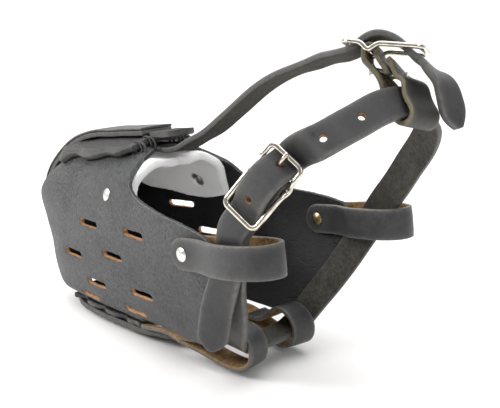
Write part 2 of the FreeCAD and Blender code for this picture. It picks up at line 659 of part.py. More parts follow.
# ---- buckles -----------------------------------------------------------------------------------
def make_frame():
    """Double-bar frame in local axes: x along, y across, z up. The tongue's end bar is at +x."""
    a, w = BUCKLE_L / 2.0, BUCKLE_W / 2.0
    r_out, r_in = 5.0, 2.2
    out = Part.makeBox(2 * a, 2 * w, ROD_T, V(-a, -w, -ROD_T / 2.0))
    out = out.makeFillet(r_out, [e for e in out.Edges if abs(e.Vertexes[0].Z - e.Vertexes[-1].Z) > 1])
    inn = Part.makeBox(2 * (a - ROD_W), 2 * (w - ROD_W), 2 * ROD_T, V(-a + ROD_W, -w + ROD_W, -ROD_T))
    inn = inn.makeFillet(r_in, [e for e in inn.Edges if abs(e.Vertexes[0].Z - e.Vertexes[-1].Z) > 1])
    f = out.cut(inn)
    try:
        f = f.makeFillet(0.8, [e for e in f.Edges if abs(e.BoundBox.ZMax - e.BoundBox.ZMin) < 0.01])
    except Exception:
        pass
    bar = Part.makeCylinder(PIVOT_R, 2 * w - ROD_W, V(PIVOT_A, -w + ROD_W / 2.0, -PIVOT_DROP), V(0, 1, 0))
    f = f.fuse(bar)
    for s in (-1, 1):
        # the rail dips in a V to carry the pivot bar
        y = s * (w - ROD_W / 2.0)
        for d in (-1, 1):
            p0 = V(PIVOT_A + d * 5.0, y, 0)
            p1 = V(PIVOT_A, y, -PIVOT_DROP)
            ax = p1 - p0
            f = f.fuse(Part.makeCylinder(1.25, ax.Length, p0, ax))
        f = f.fuse(Part.makeSphere(1.5, V(PIVOT_A, y, -PIVOT_DROP)))
    return f


KNEE = (18.7, 2.76)              # where the tongue levels out, along and above the frame's plane
TIP_A = 22.7


def make_tongue():
    """Tongue: eye on the pivot bar, finger rising through the strap and levelling out on the end bar."""
    piv = V(PIVOT_A, 0, -PIVOT_DROP)
    knee = V(KNEE[0], 0, KNEE[1])
    tip = V(TIP_A, 0, KNEE[1] - 0.05)
    eye = Part.makeCylinder(PIVOT_R + 0.06 + 1.5, 4.4, piv + V(0, -2.2, 0), V(0, 1, 0))
    s = eye
    for a, b, ra, rb in ((piv, knee, TONGUE_R + 0.1, TONGUE_R * 0.92), (knee, tip, TONGUE_R * 0.92, TONGUE_R * 0.82)):
        s = s.fuse(Part.makeCone(ra, rb, (b - a).Length, a, b - a))
    s = s.fuse(Part.makeSphere(TONGUE_R * 0.92, knee)).fuse(Part.makeSphere(TONGUE_R * 0.82, tip))
    return s.cut(Part.makeCylinder(PIVOT_R + 0.06, 8, piv + V(0, -4, 0), V(0, 1, 0)))


def orth(C, l, w):
    l = unit(V(*l))
    w = V(*w)
    w = unit(w - l * w.dot(l))
    n = unit(w.cross(l))
    return V(*C), l, w, n


# local y axis must make a right-handed set with l and n
NB = orth((55.3, 67.4, 129.0), (-0.404, 0.467, 0.787), (-0.153, 0.813, -0.561))
CB = orth((-8.0, 96.2, 199.1), (0.41, -0.909, 0.042), (-0.87, -0.40, -0.275))
for nm, B in (("neck", NB), ("crown", CB)):
    C, l, w, n = B
    yl = unit(n.cross(l))
    put(nm + "_buckle_frame", frame_solid(make_frame(), C, l, yl, n))
    put(nm + "_buckle_tongue", frame_solid(make_tongue(), C, l, yl, n))


def loc(B, a, n_, w_=0.0):
    """Point in a buckle's own axes."""
    C, l, w, n = B
    return C + l * a + n * n_ + w * w_


def st(p, w, *rest):
    return (p.x, p.y, p.z, w.x, w.y, w.z) + rest


# ---- neck strap -----------------------------------------------------------------------------------
wN = NB[2]
ROD_GAP = ROD_T / 2.0 + 1.5 + STRAP_T / 2.0       # strap centre below an end bar
OVER = 5.6                                         # strap centre above the frame plane over the pivot bar
FOLD_T = 2.8
fold_r = PIVOT_R + 0.2 + FOLD_T / 2.0




def fold(B, r, angles):
    """Stations of a fold round the pivot bar. Angles from the tongue's end, over the top."""
    out = []
    for ang in angles:
        t = math.radians(ang)
        out.append(loc(B, PIVOT_A + r * math.cos(t), -PIVOT_DROP + r * math.sin(t)))
    return out


# one strap: short end, fold on the pivot bar, left keeper, both chin loops, right keeper, crown, over the buckle, left keeper, tip
FT = FOLD_T
NECK = [st(loc(NB, -8.5, -2.2), wN, STRAP_W, FT), st(loc(NB, -3.0, -1.3), wN, STRAP_W, FT), st(loc(NB, 2.5, -0.6), wN, STRAP_W, FT)]
NECK += [st(p, wN, STRAP_W, FT) for p in fold(NB, fold_r, (90, 50, 10, -30, -75))]
NECK += [st(loc(NB, 0.5, -6.9), wN, STRAP_W, FT), st(loc(NB, -7.0, -7.2), wN, STRAP_W, FT), st(loc(NB, -14.5, -8.1), wN, STRAP_W, FT), st(loc(NB, -22.0, -9.6), wN, STRAP_W, 3.0),
         st(loc(NB, -30.0, -10.9), wN, STRAP_W, 3.4)]
NECK += [(57.0, 46.5, 88.0, -0.12, 0.91, -0.38, STRAP_W, STRAP_T), (54.8, 42.6, 73.0, -0.14, 0.93, -0.33), (49.4, 38.0, 56.0, -0.12, 0.95, -0.28), (43.0, 32.0, 39.5, -0.08, 0.97, -0.20), (35.5, 22.6, 25.5, -0.03, 0.99, -0.12),
         (25.5, 16.2, 16.2, 0, 1, -0.04), (13.0, 14.2, 13.2, 0, 1, 0), (0.0, 12.8, 12.4, 0, 1, 0), (-13.0, 11.4, 12.2, 0, 1, 0), (-25.0, 11.2, 13.2, 0, 1, -0.04),
         (-34.0, 12.8, 18.8, 0.0, 0.98, -0.18), (-39.6, 17.4, 28.4, 0.0, 0.93, -0.36), (-44.6, 25.0, 41.0, -0.02, 0.88, -0.47), (-49.6, 33.2, 55.0, -0.04, 0.84, -0.54),
         (-54.9, 41.2, 70.5, -0.06, 0.82, -0.57), (-57.3, 49.7, 85.0, -0.08, 0.80, -0.60), (-55.7, 60.0, 99.4, -0.08, 0.78, -0.62), (-51.2, 73.4, 114.2, -0.06, 0.76, -0.65), (-46.0, 86.2, 129.0, -0.04, 0.74, -0.67),
         (-39.0, 99.4, 142.8, -0.02, 0.72, -0.69), (-30.0, 110.3, 155.3, 0, 0.71, -0.70), (-18.5, 117.2, 165.3, 0, 0.70, -0.71), (-6.0, 117.4, 171.8, 0, 0.70, -0.71),
         (6.0, 113.6, 172.6, 0, 0.70, -0.71), (15.0, 110.2, 170.3, 0, 0.69, -0.72), (24.0, 106.8, 166.3, 0, 0.68, -0.73), (33.4, 102.0, 162.4, -0.05, 0.715, -0.698), (44.0, 94.6, 159.8, 0.10, 0.61, -0.785)]
NECK += [st(loc(NB, 27.0, -ROD_GAP + 0.2), wN), st(loc(NB, 20.9, -ROD_GAP), wN), st(loc(NB, 16.2, -2.6), wN), st(loc(NB, 12.2, 1.4), wN), st(loc(NB, 5.8, OVER), wN), st(loc(NB, -2.5, 5.3), wN),
         st(loc(NB, -10.0, 1.5), wN), st(loc(NB, -15.4, -3.2), wN), st(loc(NB, -20.9, -ROD_GAP - 0.1), wN), st(loc(NB, -28.5, -ROD_GAP - 1.0), wN)]
NECK += [(62.15, 49.5, 95.3, -0.12, 0.89, -0.44), (61.6, 47.0, 82.4, -0.10, 0.93, -0.36), (60.6, 41.6, 68.0, -0.26, 0.90, -0.30), (58.8, 35.5, 55.5, -0.44, 0.84, -0.22)]
TIP_AT = len(NECK) - 1
NECK += [(55.4, 28.6, 40.5, -0.58, 0.79, -0.18), (51.2, 20.9, 22.5, -0.60, 0.78, -0.16)]

neck = Band(NECK, STRAP_W, STRAP_T, n=4, end=("point", 14.0))
u_cut = neck.near(V(60.7, 40.2, 65.6))
du = 0.4 / neck.length
neck_solid = neck.solid(0.0, u_cut - du)
put("neck_strap_tail", neck.solid(u_cut + du, 1.0))
NECK_FLEX = neck.at(u_cut)


def tongue_hole(B):
    """Room for the tongue where it comes up through the strap, over its whole swing."""
    C, l, w, n = B
    piv = loc(B, PIVOT_A, -PIVOT_DROP)
    tip = loc(B, KNEE[0], KNEE[1])
    out = None
    yl = unit(n.cross(l))
    for deg in (-1.5, 3.0, 7.5):
        d = FreeCAD.Rotation(yl * -1, deg).multVec(tip - piv)
        c = Part.makeCylinder(TONGUE_R + 0.7, d.Length + 3, piv, d)
        out = c if out is None else out.fuse(c)
    return out


HOLES_AT = [(V(0.0, 115.3, 174.6)), V(24.0, 106.8, 166.3), V(43.0, 97.0, 155.2)]
cuts = [neck.punch(p) for p in HOLES_AT]
cuts.append(tongue_hole(NB))
# next hole below the pivot bar
q = loc(NB, -9.0, 3.3)
uq = neck.near(q)
q2, T2, w2, N2 = neck.at(uq)
cuts.append(Part.makeCylinder(HOLE_R, 4.6, q2 - N2 * 2.3, N2))
# slot in the fold for the tongue's eye, and the fold's rivet hole
C, l, w, n = NB
ysl = unit(n.cross(l))
slot = Part.makeBox(15.0, 6.0, 11.6, V(PIVOT_A - 6.5, -3.0, -PIVOT_DROP - 6.5))
cuts.append(frame_solid(slot, C, l, ysl, n))
RIV_A = -4.6
cuts.append(Part.makeCylinder(RIVET_POST_R + 0.02, 9.2, loc(NB, RIV_A, -9.4), n))
for c in cuts:
    neck_solid = neck_solid.cut(c)
if neck_solid.ShapeType == "Compound":
    neck_solid = max(neck_solid.Solids, key=lambda s: s.Volume)
fold_rivet = rivet(loc(NB, RIV_A, 0), n, -8.75, 0.15, cap=3.6, cap_h=0.9)
neck_solid = neck_solid.cut(fold_rivet)
neck_solid = max(neck_solid.Solids, key=lambda q_: q_.Volume)
put("neck_strap", neck_solid)
put("neck_fold_rivet", fold_rivet)

# ---- forehead strap ---------------------------------------------------------------------------
wC = CB[2] * -1      # towards the dog's left
FORE = [(0, -86, 122.4, 1, 0, 0, STRAP_W, 3.0), (0, -79, 122.6, 1, 0, 0, STRAP_W, 3.2), (0, -70, 123.4, 1, 0, 0), (0, -59, 126.4, 1, 0, 0), (0, -47, 132.6, 1, 0, 0), (0, -35, 138.6, 1, 0, 0), (0, -21, 147.8, 1, 0, 0), (0, -7, 158.2, 1, 0, 0),
        (0, 7, 168.2, 1, 0, 0), (0, 22, 177.0, 1, 0, 0.02), (0.2, 37, 183.2, 1, 0.03, 0.06), (1.5, 51.7, 187.7, 0.98, 0.12, 0.147), (5.63, 64.2, 192.2, 0.944, 0.243, 0.222)]
FORE += [st(loc(CB, 27.0, -ROD_GAP - 0.2), wC), st(loc(CB, 20.9, -ROD_GAP), wC), st(loc(CB, 16.2, -2.6), wC), st(loc(CB, 12.2, 1.4), wC), st(loc(CB, 5.8, OVER), wC), st(loc(CB, -2.5, 5.3), wC),
         st(loc(CB, -10.0, 1.5), wC), st(loc(CB, -15.4, -3.2), wC), st(loc(CB, -20.5, -ROD_GAP - 1.2), wC), st(loc(CB, -25.5, -ROD_GAP - 6.0), wC)]
FORE += [(-17.8, 124.9, 183.2, 0.91, 0.31, 0.24), (-19.4, 130.2, 171.2, 0.96, 0.14, 0.11), (-20.8, 135.2, 158.7, 0.99, 0.02, 0.04)]
fore = Band(FORE, STRAP_W, STRAP_T, n=4, end=("point", 13.0))
u_cut = fore.near(loc(CB, -26.6, -ROD_GAP - 8.0))
du = 0.45 / fore.length
fore_solid = fore.solid(0.0, u_cut - du)
put("forehead_strap_tail", fore.solid(u_cut + du, 1.0))
FORE_FLEX = fore.at(u_cut)
fore_solid = fore_solid.cut(tongue_hole(CB))
q2, T2, w2, N2 = fore.at(fore.near(loc(CB, -9.0, 3.6)))
fore_solid = fore_solid.cut(Part.makeCylinder(HOLE_R, 4.6, q2 - N2 * 2.3, N2))
if fore_solid.ShapeType == "Compound":
    fore_solid = max(fore_solid.Solids, key=lambda s: s.Volume)
put("forehead_strap", fore_solid)

# ---- crown tab ----------------------------------------------------------------------------------
TAB_T = 3.0
tab_r = PIVOT_R + 0.2 + TAB_T / 2.0
uq = neck.near(V(-5, 117.2, 172.2))
Q, Tn, wn, Nn = neck.at(uq)
if Nn.y < 0:
    Nn = Nn * -1
if Tn.x < 0:
    Tn = Tn * -1


def nl(p, q_):
    """Point beside the neck strap at the crown: p towards its rear edge, q outwards."""
    return Q + wn * p + Nn * q_


def mix(a, b, f):
    return unit(a * (1 - f) + b * f)


CT = [st(loc(CB, -4.6, -14.9), wC, 17.6, TAB_T), st(loc(CB, -2.9, -12.2), wC, 18.4, TAB_T), st(loc(CB, 0.4, -8.2), wC), st(loc(CB, 2.7, -4.9), wC)]
CT += [st(p, wC) for p in fold(CB, tab_r, (160, 125, 90, 55, 20, -20))]
CT += [st(loc(CB, 9.0, -8.2), wC), (-2.62, 91.9, 188.1, 0.871, 0.405, 0.278), (-3.25, 95.44, 185.5, 0.899, 0.344, 0.271), (-4.41, 98.7, 181.75, 0.934, 0.228, 0.275),
       (-6.5, 104.12, 171.88, 0.973, -0.084, 0.216), st(nl(-2, -8.8), mix(wC, Tn, 0.95)), st(nl(6, -7.6), Tn), st(nl(11.6, -4.4), Tn), st(nl(13.4, 0.0), Tn), st(nl(11.6, 3.9), Tn), st(nl(6, 4.6), Tn), st(nl(-2, 4.5), Tn),
       (-7.99, 115.21, 181.97, 0.963, -0.095, 0.251), (-8.43, 107.72, 184.42, 0.95, 0.205, 0.234), st(loc(CB, -6.9, -10.4), mix(wC, Tn, 0.1)), st(loc(CB, -3.6, -6.8), wC)]
tab = Band(CT, STRAP_W, TAB_T, n=4)
tab_solid = tab.solid()
C, l, w, n = CB
ysl = unit(n.cross(l))
slot = Part.makeBox(14.0, 6.0, 10.2, V(PIVOT_A - 5.2, -3.0, -PIVOT_DROP - 5.1))
tab_solid = tab_solid.cut(frame_solid(slot, C, l, ysl, n))
TR = -13.3
tab_rivet = rivet(loc(CB, 0, TR, 0.4), unit(l + n * 0.12), -12.6, 6.6, cap=3.3, cap_h=0.9)
tab_solid = tab_solid.cut(tab_rivet)
if tab_solid.ShapeType == "Compound":
    tab_solid = max(tab_solid.Solids, key=lambda s: s.Volume)
put("crown_tab", tab_solid)
put("crown_tab_rivet", tab_rivet)

# ---- thread lashing that ties bridge plate, strap and panels at the ridge ------------------------
lash = []
for x in (-20, -12, 12, 20):
    z = arch(-86, x)
    for dy in (0.0, 4.2):
        c = Part.makeTorus(5.2, 0.8, V(x, -86 + dy, z + 1.0), V(1, 0.0, 0))
        for o in (nodes["bridge_plate"], nodes["bridge_tab"], nodes["left_side_panel"], nodes["right_side_panel"], nodes["forehead_strap"], nodes["nose_felt_lining"]):
            c = c.cut(o)
        lash += [q_ for q_ in c.Solids if q_.Volume > 1.0]
put("bridge_lacing", Part.makeCompound(lash))

# ---- write --------------------------------------------------------------------------------------
bb = FreeCAD.BoundBox()
for s in nodes.values():
    bb.add(s.BoundBox)
SHIFT = V(-(bb.XMin + bb.XMax) / 2.0, -(bb.YMin + bb.YMax) / 2.0, -bb.ZMin)
print("box", [round(x, 2) for x in (bb.XMin, bb.XMax, bb.YMin, bb.YMax, bb.ZMin, bb.ZMax)], "shift", [round(x, 3) for x in SHIFT])
for nm, p, ax in (("left_keeper", V(kp.x, ky, kz), V(1, 0, 0)), ("right_keeper", V(-kp.x, ky, kz), V(1, 0, 0)), ("neck_pivot", loc(NB, PIVOT_A, -PIVOT_DROP), NB[2]),
                  ("crown_pivot", loc(CB, PIVOT_A, -PIVOT_DROP), CB[2]), ("neck_flex", NECK_FLEX[0], NECK_FLEX[2]), ("fore_flex", FORE_FLEX[0], FORE_FLEX[2])):
    q_ = p + SHIFT
    print("JOINT %s %.5f %.5f %.5f  %.6f %.6f %.6f" % (nm, q_.x, q_.y, q_.z, ax.x, ax.y, ax.z))
for name, s in nodes.items():
    s = s.copy()
    s.translate(SHIFT)
    n_solids = len(s.Solids)
    print("%-24s %s valid=%s solids=%d vol=%.1f faces=%d" % (name, s.ShapeType, s.isValid(), n_solids, s.Volume, len(s.Faces)))
    s.exportStep("parts/%s.step" % name)
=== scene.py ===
import bpy, bmesh, math
import numpy as np
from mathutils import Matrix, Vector


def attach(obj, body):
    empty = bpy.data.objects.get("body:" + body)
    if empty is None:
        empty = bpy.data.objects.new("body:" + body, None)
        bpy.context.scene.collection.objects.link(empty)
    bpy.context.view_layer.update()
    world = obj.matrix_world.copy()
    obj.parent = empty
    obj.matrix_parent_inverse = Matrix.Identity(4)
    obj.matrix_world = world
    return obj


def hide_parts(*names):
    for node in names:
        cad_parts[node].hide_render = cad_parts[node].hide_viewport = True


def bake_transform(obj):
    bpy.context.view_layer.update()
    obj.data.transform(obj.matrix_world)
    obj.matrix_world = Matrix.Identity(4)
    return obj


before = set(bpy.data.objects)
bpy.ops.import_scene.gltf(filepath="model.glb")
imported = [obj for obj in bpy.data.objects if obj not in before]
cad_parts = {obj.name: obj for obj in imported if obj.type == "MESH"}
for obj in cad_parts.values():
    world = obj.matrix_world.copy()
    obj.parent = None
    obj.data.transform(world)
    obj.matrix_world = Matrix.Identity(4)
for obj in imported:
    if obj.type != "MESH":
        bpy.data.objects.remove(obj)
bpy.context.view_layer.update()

MM = 0.001
SHIFT = np.array([0.0, 38.416, 2.8])

# ---------------------------------------------------------------- routes (mm, row frame)
NECK = [
    [56.749, 100.622, 124.547, -0.1531, 0.8134, -0.5612, 19, 2.8],
    [55.339, 103.502, 129.106, -0.1531, 0.8134, -0.5612, 19, 2.8],
    [53.749, 106.313, 133.613, -0.1531, 0.8134, -0.5612, 19, 2.8],
    [52.123, 108.332, 136.982, -0.1531, 0.8134, -0.5612, 19, 2.8],
    [50.711, 108.988, 138.319, -0.1531, 0.8134, -0.5612, 19, 2.8],
    [48.694, 108.85, 138.669, -0.1531, 0.8134, -0.5612, 19, 2.8],
    [47.015, 107.982, 137.869, -0.1531, 0.8134, -0.5612, 19, 2.8],
    [46.49, 106.647, 136.077, -0.1531, 0.8134, -0.5612, 19, 2.8],
    [48.875, 103.192, 130.42, -0.1531, 0.8134, -0.5612, 19, 2.8],
    [51.633, 99.587, 124.442, -0.1531, 0.8134, -0.5612, 19, 2.8],
    [53.85, 95.773, 118.31, -0.1531, 0.8134, -0.5612, 19, 2.8],
    [55.527, 91.751, 112.024, -0.1531, 0.8134, -0.5612, 19, 3],
    [57.585, 87.565, 105.396, -0.1531, 0.8134, -0.5612, 19, 3.4],
    [57, 84.454, 90.8, -0.1208, 0.916, -0.3825, 19, 4],
    [54.8, 80.554, 75.8, -0.1405, 0.9331, -0.3311, 19, 4],
    [49.4, 75.954, 58.8, -0.1203, 0.9522, -0.2807, 19, 4],
    [43, 69.954, 42.3, -0.0805, 0.9762, -0.2013, 19, 4],
    [35.5, 60.554, 28.3, -0.0301, 0.9923, -0.1203, 19, 4],
    [25.5, 54.154, 19, 0, 0.9992, -0.04, 19, 4],
    [13, 52.154, 16, 0, 1, 0, 19, 4],
    [0, 50.754, 15.2, 0, 1, 0, 19, 4],
    [-13, 49.354, 15, 0, 1, 0, 19, 4],
    [-25, 49.154, 16, 0, 0.9992, -0.04, 19, 4],
    [-34, 50.754, 21.6, 0, 0.9835, -0.1807, 19, 4],
    [-39.6, 55.354, 31.2, 0, 0.9326, -0.361, 19, 4],
    [-44.6, 62.954, 43.8, -0.02, 0.8819, -0.471, 19, 4],
    [-49.6, 71.154, 57.8, -0.04, 0.8405, -0.5403, 19, 4],
    [-54.9, 79.154, 73.3, -0.06, 0.8196, -0.5697, 19, 4],
    [-57.3, 87.654, 87.8, -0.0797, 0.7975, -0.5981, 19, 4],
    [-55.7, 97.954, 102.2, -0.08, 0.7803, -0.6202, 19, 4],
    [-51.2, 111.354, 117, -0.0599, 0.7586, -0.6488, 19, 4],
    [-46, 124.154, 131.8, -0.04, 0.7407, -0.6706, 19, 4],
    [-39, 137.354, 145.6, -0.0201, 0.7218, -0.6918, 19, 4],
    [-30, 148.254, 158.1, 0, 0.7121, -0.7021, 19, 4],
    [-18.5, 155.154, 168.1, 0, 0.7021, -0.7121, 19, 4],
    [-6, 155.354, 174.6, 0, 0.7021, -0.7121, 19, 4],
    [6, 151.554, 175.4, 0, 0.7021, -0.7121, 19, 4],
    [15, 148.154, 173.1, 0, 0.6919, -0.722, 19, 4],
    [24, 144.754, 169.1, 0, 0.6816, -0.7317, 19, 4],
    [33.4, 139.954, 165.2, -0.05, 0.7147, -0.6977, 19, 4],
    [44, 132.554, 162.6, 0.1001, 0.6105, -0.7857, 19, 4],
    [40.157, 116.327, 151.834, -0.1531, 0.8134, -0.5612, 19, 4],
    [42.44, 113.41, 146.983, -0.1531, 0.8134, -0.5612, 19, 4],
    [46.412, 112.014, 143.877, -0.1531, 0.8134, -0.5612, 19, 4],
    [51.636, 111.535, 141.758, -0.1531, 0.8134, -0.5612, 19, 4],
    [58.008, 110.005, 137.802, -0.1531, 0.8134, -0.5612, 19, 4],
    [61.09, 106.026, 131.195, -0.1531, 0.8134, -0.5612, 19, 4],
    [60.692, 101.206, 124.318, -0.1531, 0.8134, -0.5612, 19, 4],
    [58.633, 97.054, 118.862, -0.1531, 0.8134, -0.5612, 19, 4],
    [59.231, 93.861, 114.072, -0.1531, 0.8134, -0.5612, 19, 4],
    [61.489, 90.001, 107.862, -0.1531, 0.8134, -0.5612, 19, 4],
    [62.15, 87.454, 98.1, -0.12, 0.89, -0.44, 19, 4],
    [61.6, 84.954, 85.2, -0.0998, 0.9279, -0.3592, 19, 4],
    [60.6, 79.554, 70.8, -0.2643, 0.9149, -0.305, 19, 4],
    [58.8, 73.454, 58.3, -0.452, 0.8629, -0.226, 19, 4],
    [55.4, 66.554, 43.3, -0.5821, 0.7928, -0.1806, 19, 4],
    [51.2, 58.854, 25.3, -0.6018, 0.7824, -0.1605, 19, 4],
]
FORE = [
    [0, -48.046, 125.2, 1, 0, 0, 19, 3],
    [0, -41.046, 125.4, 1, 0, 0, 19, 3.2],
    [0, -32.046, 126.2, 1, 0, 0, 19, 4],
    [0, -21.046, 129.2, 1, 0, 0, 19, 4],
    [0, -9.046, 135.4, 1, 0, 0, 19, 4],
    [0, 2.954, 141.4, 1, 0, 0, 19, 4],
    [0, 16.954, 150.6, 1, 0, 0, 19, 4],
    [0, 30.954, 161, 1, 0, 0, 19, 4],
    [0, 44.954, 171, 1, 0, 0, 19, 4],
    [0, 59.954, 179.8, 0.9998, 0, 0.02, 19, 4],
    [0.2, 74.954, 186, 0.9978, 0.0299, 0.0599, 19, 4],
    [1.5, 89.654, 190.5, 0.9818, 0.1202, 0.1473, 19, 4],
    [5.63, 102.154, 195, 0.9443, 0.2431, 0.2221, 19, 4],
    [4.46, 109.954, 198.139, 0.8714, 0.4058, 0.2758, 19, 4],
    [1.9, 115.495, 198.074, 0.8714, 0.4058, 0.2758, 19, 4],
    [-0.648, 119.599, 200.085, 0.8714, 0.4058, 0.2758, 19, 4],
    [-3.364, 122.935, 203.758, 0.8714, 0.4058, 0.2758, 19, 4],
    [-7.12, 128.442, 207.522, 0.8714, 0.4058, 0.2758, 19, 4],
    [-10.449, 136.025, 206.884, 0.8714, 0.4058, 0.2758, 19, 4],
    [-12.51, 143.146, 202.92, 0.8714, 0.4058, 0.2758, 19, 4],
    [-13.468, 148.425, 198.179, 0.8714, 0.4058, 0.2758, 19, 4],
    [-14.785, 153.292, 195.18, 0.8714, 0.4058, 0.2758, 19, 4],
    [-15.551, 158.214, 190.36, 0.8714, 0.4058, 0.2758, 19, 4],
    [-17.8, 162.854, 186, 0.9184, 0.3129, 0.2422, 19, 4],
    [-19.4, 168.154, 174, 0.9832, 0.1434, 0.1127, 19, 4],
    [-20.8, 173.154, 161.5, 0.999, 0.0202, 0.0404, 19, 4],
]
CT = [
    [-5.892, 139.485, 187.398, 0.8714, 0.4058, 0.2758, 17.6, 3],
    [-5.918, 137.73, 190.063, 0.8714, 0.4058, 0.2758, 18.4, 3],
    [-5.636, 134.418, 194.043, 0.8714, 0.4058, 0.2758, 19, 3],
    [-5.576, 132.07, 197.308, 0.8714, 0.4058, 0.2758, 19, 3],
    [-5.769, 130.846, 199.719, 0.8714, 0.4058, 0.2758, 19, 3],
    [-5.7, 129.699, 201.187, 0.8714, 0.4058, 0.2758, 19, 3],
    [-5.12, 128.037, 201.8, 0.8714, 0.4058, 0.2758, 19, 3],
    [-4.239, 126.46, 201.336, 0.8714, 0.4058, 0.2758, 19, 3],
    [-3.376, 125.54, 199.964, 0.8714, 0.4058, 0.2758, 19, 3],
    [-2.807, 125.703, 197.927, 0.8714, 0.4058, 0.2758, 19, 3],
    [-2.103, 126.586, 194.404, 0.8714, 0.4058, 0.2758, 19, 3],
    [-2.62, 129.854, 190.9, 0.871, 0.405, 0.278, 19, 3],
    [-3.25, 133.394, 188.3, 0.899, 0.344, 0.271, 19, 3],
    [-4.41, 136.654, 184.55, 0.934, 0.228, 0.275, 19, 3],
    [-6.5, 142.074, 174.68, 0.9728, -0.084, 0.216, 19, 3],
    [-5.505, 147.533, 170.043, 0.953, -0.1862, 0.239, 19, 3],
    [-2.972, 153.733, 165.507, 0.9479, -0.2155, 0.2347, 19, 3],
    [-1.227, 159.754, 163.989, 0.9479, -0.2155, 0.2347, 19, 3],
    [-0.706, 164.09, 165.868, 0.9479, -0.2155, 0.2347, 19, 3],
    [-1.326, 165.664, 169.816, 0.9479, -0.2155, 0.2347, 19, 3],
    [-3.118, 162.42, 174.072, 0.9479, -0.2155, 0.2347, 19, 3],
    [-5.664, 157.003, 179.381, 0.9479, -0.2155, 0.2347, 19, 3],
    [-7.99, 153.164, 184.77, 0.9633, -0.095, 0.2511, 19, 3],
    [-8.43, 145.674, 187.22, 0.9503, 0.2051, 0.2341, 19, 3],
    [-8.044, 141.235, 191.623, 0.895, 0.3499, 0.2767, 19, 3],
    [-7.654, 137.954, 195.219, 0.8714, 0.4058, 0.2758, 19, 3],
]
KEEP = [
    [62.594, 38.851, 82.445, 0, -0.1426, 0.9898, 19, 3],
    [62.594, 48.254, 83.8, 0, -0.1426, 0.9898, 19, 3],
    [63.194, 60.131, 85.512, 0, -0.1426, 0.9898, 19, 3],
    [67.594, 73.988, 87.508, 0, -0.1426, 0.9898, 19, 3],
    [70.394, 89.824, 89.79, 0, -0.1426, 0.9898, 19, 3],
    [67.794, 105.661, 92.072, 0, -0.1426, 0.9898, 19, 3],
    [60.394, 116.054, 93.57, 0, -0.1426, 0.9898, 19, 3],
    [51.594, 116.548, 93.641, 0, -0.1426, 0.9898, 19, 3],
    [45.094, 107.64, 92.358, 0, -0.1426, 0.9898, 19, 3],
    [44.394, 93.784, 90.361, 0, -0.1426, 0.9898, 19, 3],
    [46.194, 77.947, 88.079, 0, -0.1426, 0.9898, 19, 3],
    [51.094, 66.07, 86.367, 0, -0.1426, 0.9898, 19, 3],
    [52.494, 56.172, 84.941, 0, -0.1426, 0.9898, 19, 3],
    [52.494, 48.254, 83.8, 0, -0.1426, 0.9898, 19, 3],
    [52.494, 38.851, 82.445, 0, -0.1426, 0.9898, 19, 3],
]
LOOP_L = [
    [29, -26.546, 10, 0.9678, 0, 0.2516, 17, 3],
    [29, -12.046, 12, 0.9678, 0, 0.2516, 17, 3],
    [29, -0.046, 13.8, 0.9889, 0, 0.1483, 17, 3],
    [29, 12.954, 12.2, 0.9968, 0, 0.0797, 17, 3],
    [26.45, 25.954, 10, 0.9988, 0, 0.0499, 17, 3],
    [24.75, 37.954, 7.4, 0.9983, 0.0499, 0.0299, 17, 3],
    [23.05, 47.954, 5.5, 0.995, 0.0995, 0, 17, 3],
    [21.35, 58.954, 6.2, 0.9903, 0.1386, 0, 17, 3],
    [20.5, 65.954, 12.4, 0.9874, 0.158, 0, 17, 3],
    [20.5, 66.154, 21.4, 0.9874, 0.158, 0, 17, 3],
    [20.5, 59.454, 28.4, 0.9929, 0.1191, 0, 17, 3],
    [21.35, 49.954, 29.4, 0.9968, 0.0797, 0, 17, 3],
    [23.05, 36.954, 23.8, 0.9992, 0.04, 0, 17, 3],
    [25.6, 27.954, 17.6, 0.9996, 0, 0.03, 17, 3],
    [27.725, 20.954, 15.9, 0.9988, 0, 0.0499, 17, 3],
    [29, 13.954, 15.8, 0.9968, 0, 0.0797, 17, 3],
]
LOOP_R = [
    [-29, -26.546, 10, 0.9678, 0, -0.2516, 17, 3],
    [-29, -12.046, 12, 0.9678, 0, -0.2516, 17, 3],
    [-29, -0.046, 13.8, 0.9889, 0, -0.1483, 17, 3],
    [-29, 12.954, 12.2, 0.9968, 0, -0.0797, 17, 3],
    [-27.8, 25.954, 10, 0.9988, 0, -0.0499, 17, 3],
    [-27, 37.954, 7.4, 0.9983, -0.0499, -0.0299, 17, 3],
    [-26.2, 42.954, 5.5, 0.995, -0.0995, 0, 17, 3],
    [-25.4, 53.954, 6.2, 0.9903, -0.1386, 0, 17, 3],
    [-25, 60.954, 12.4, 0.9874, -0.158, 0, 17, 3],
    [-25, 61.154, 21.4, 0.9874, -0.158, 0, 17, 3],
    [-25, 54.454, 28.4, 0.9929, -0.1191, 0, 17, 3],
    [-25.4, 44.954, 29.4, 0.9968, -0.0797, 0, 17, 3],
    [-26.2, 36.954, 23.8, 0.9992, -0.04, 0, 17, 3],
    [-27.4, 27.954, 17.6, 0.9996, 0, -0.03, 17, 3],
    [-28.4, 20.954, 15.9, 0.9988, 0, -0.0499, 17, 3],
    [-29, 13.954, 15.8, 0.9968, 0, -0.0797, 17, 3],
]
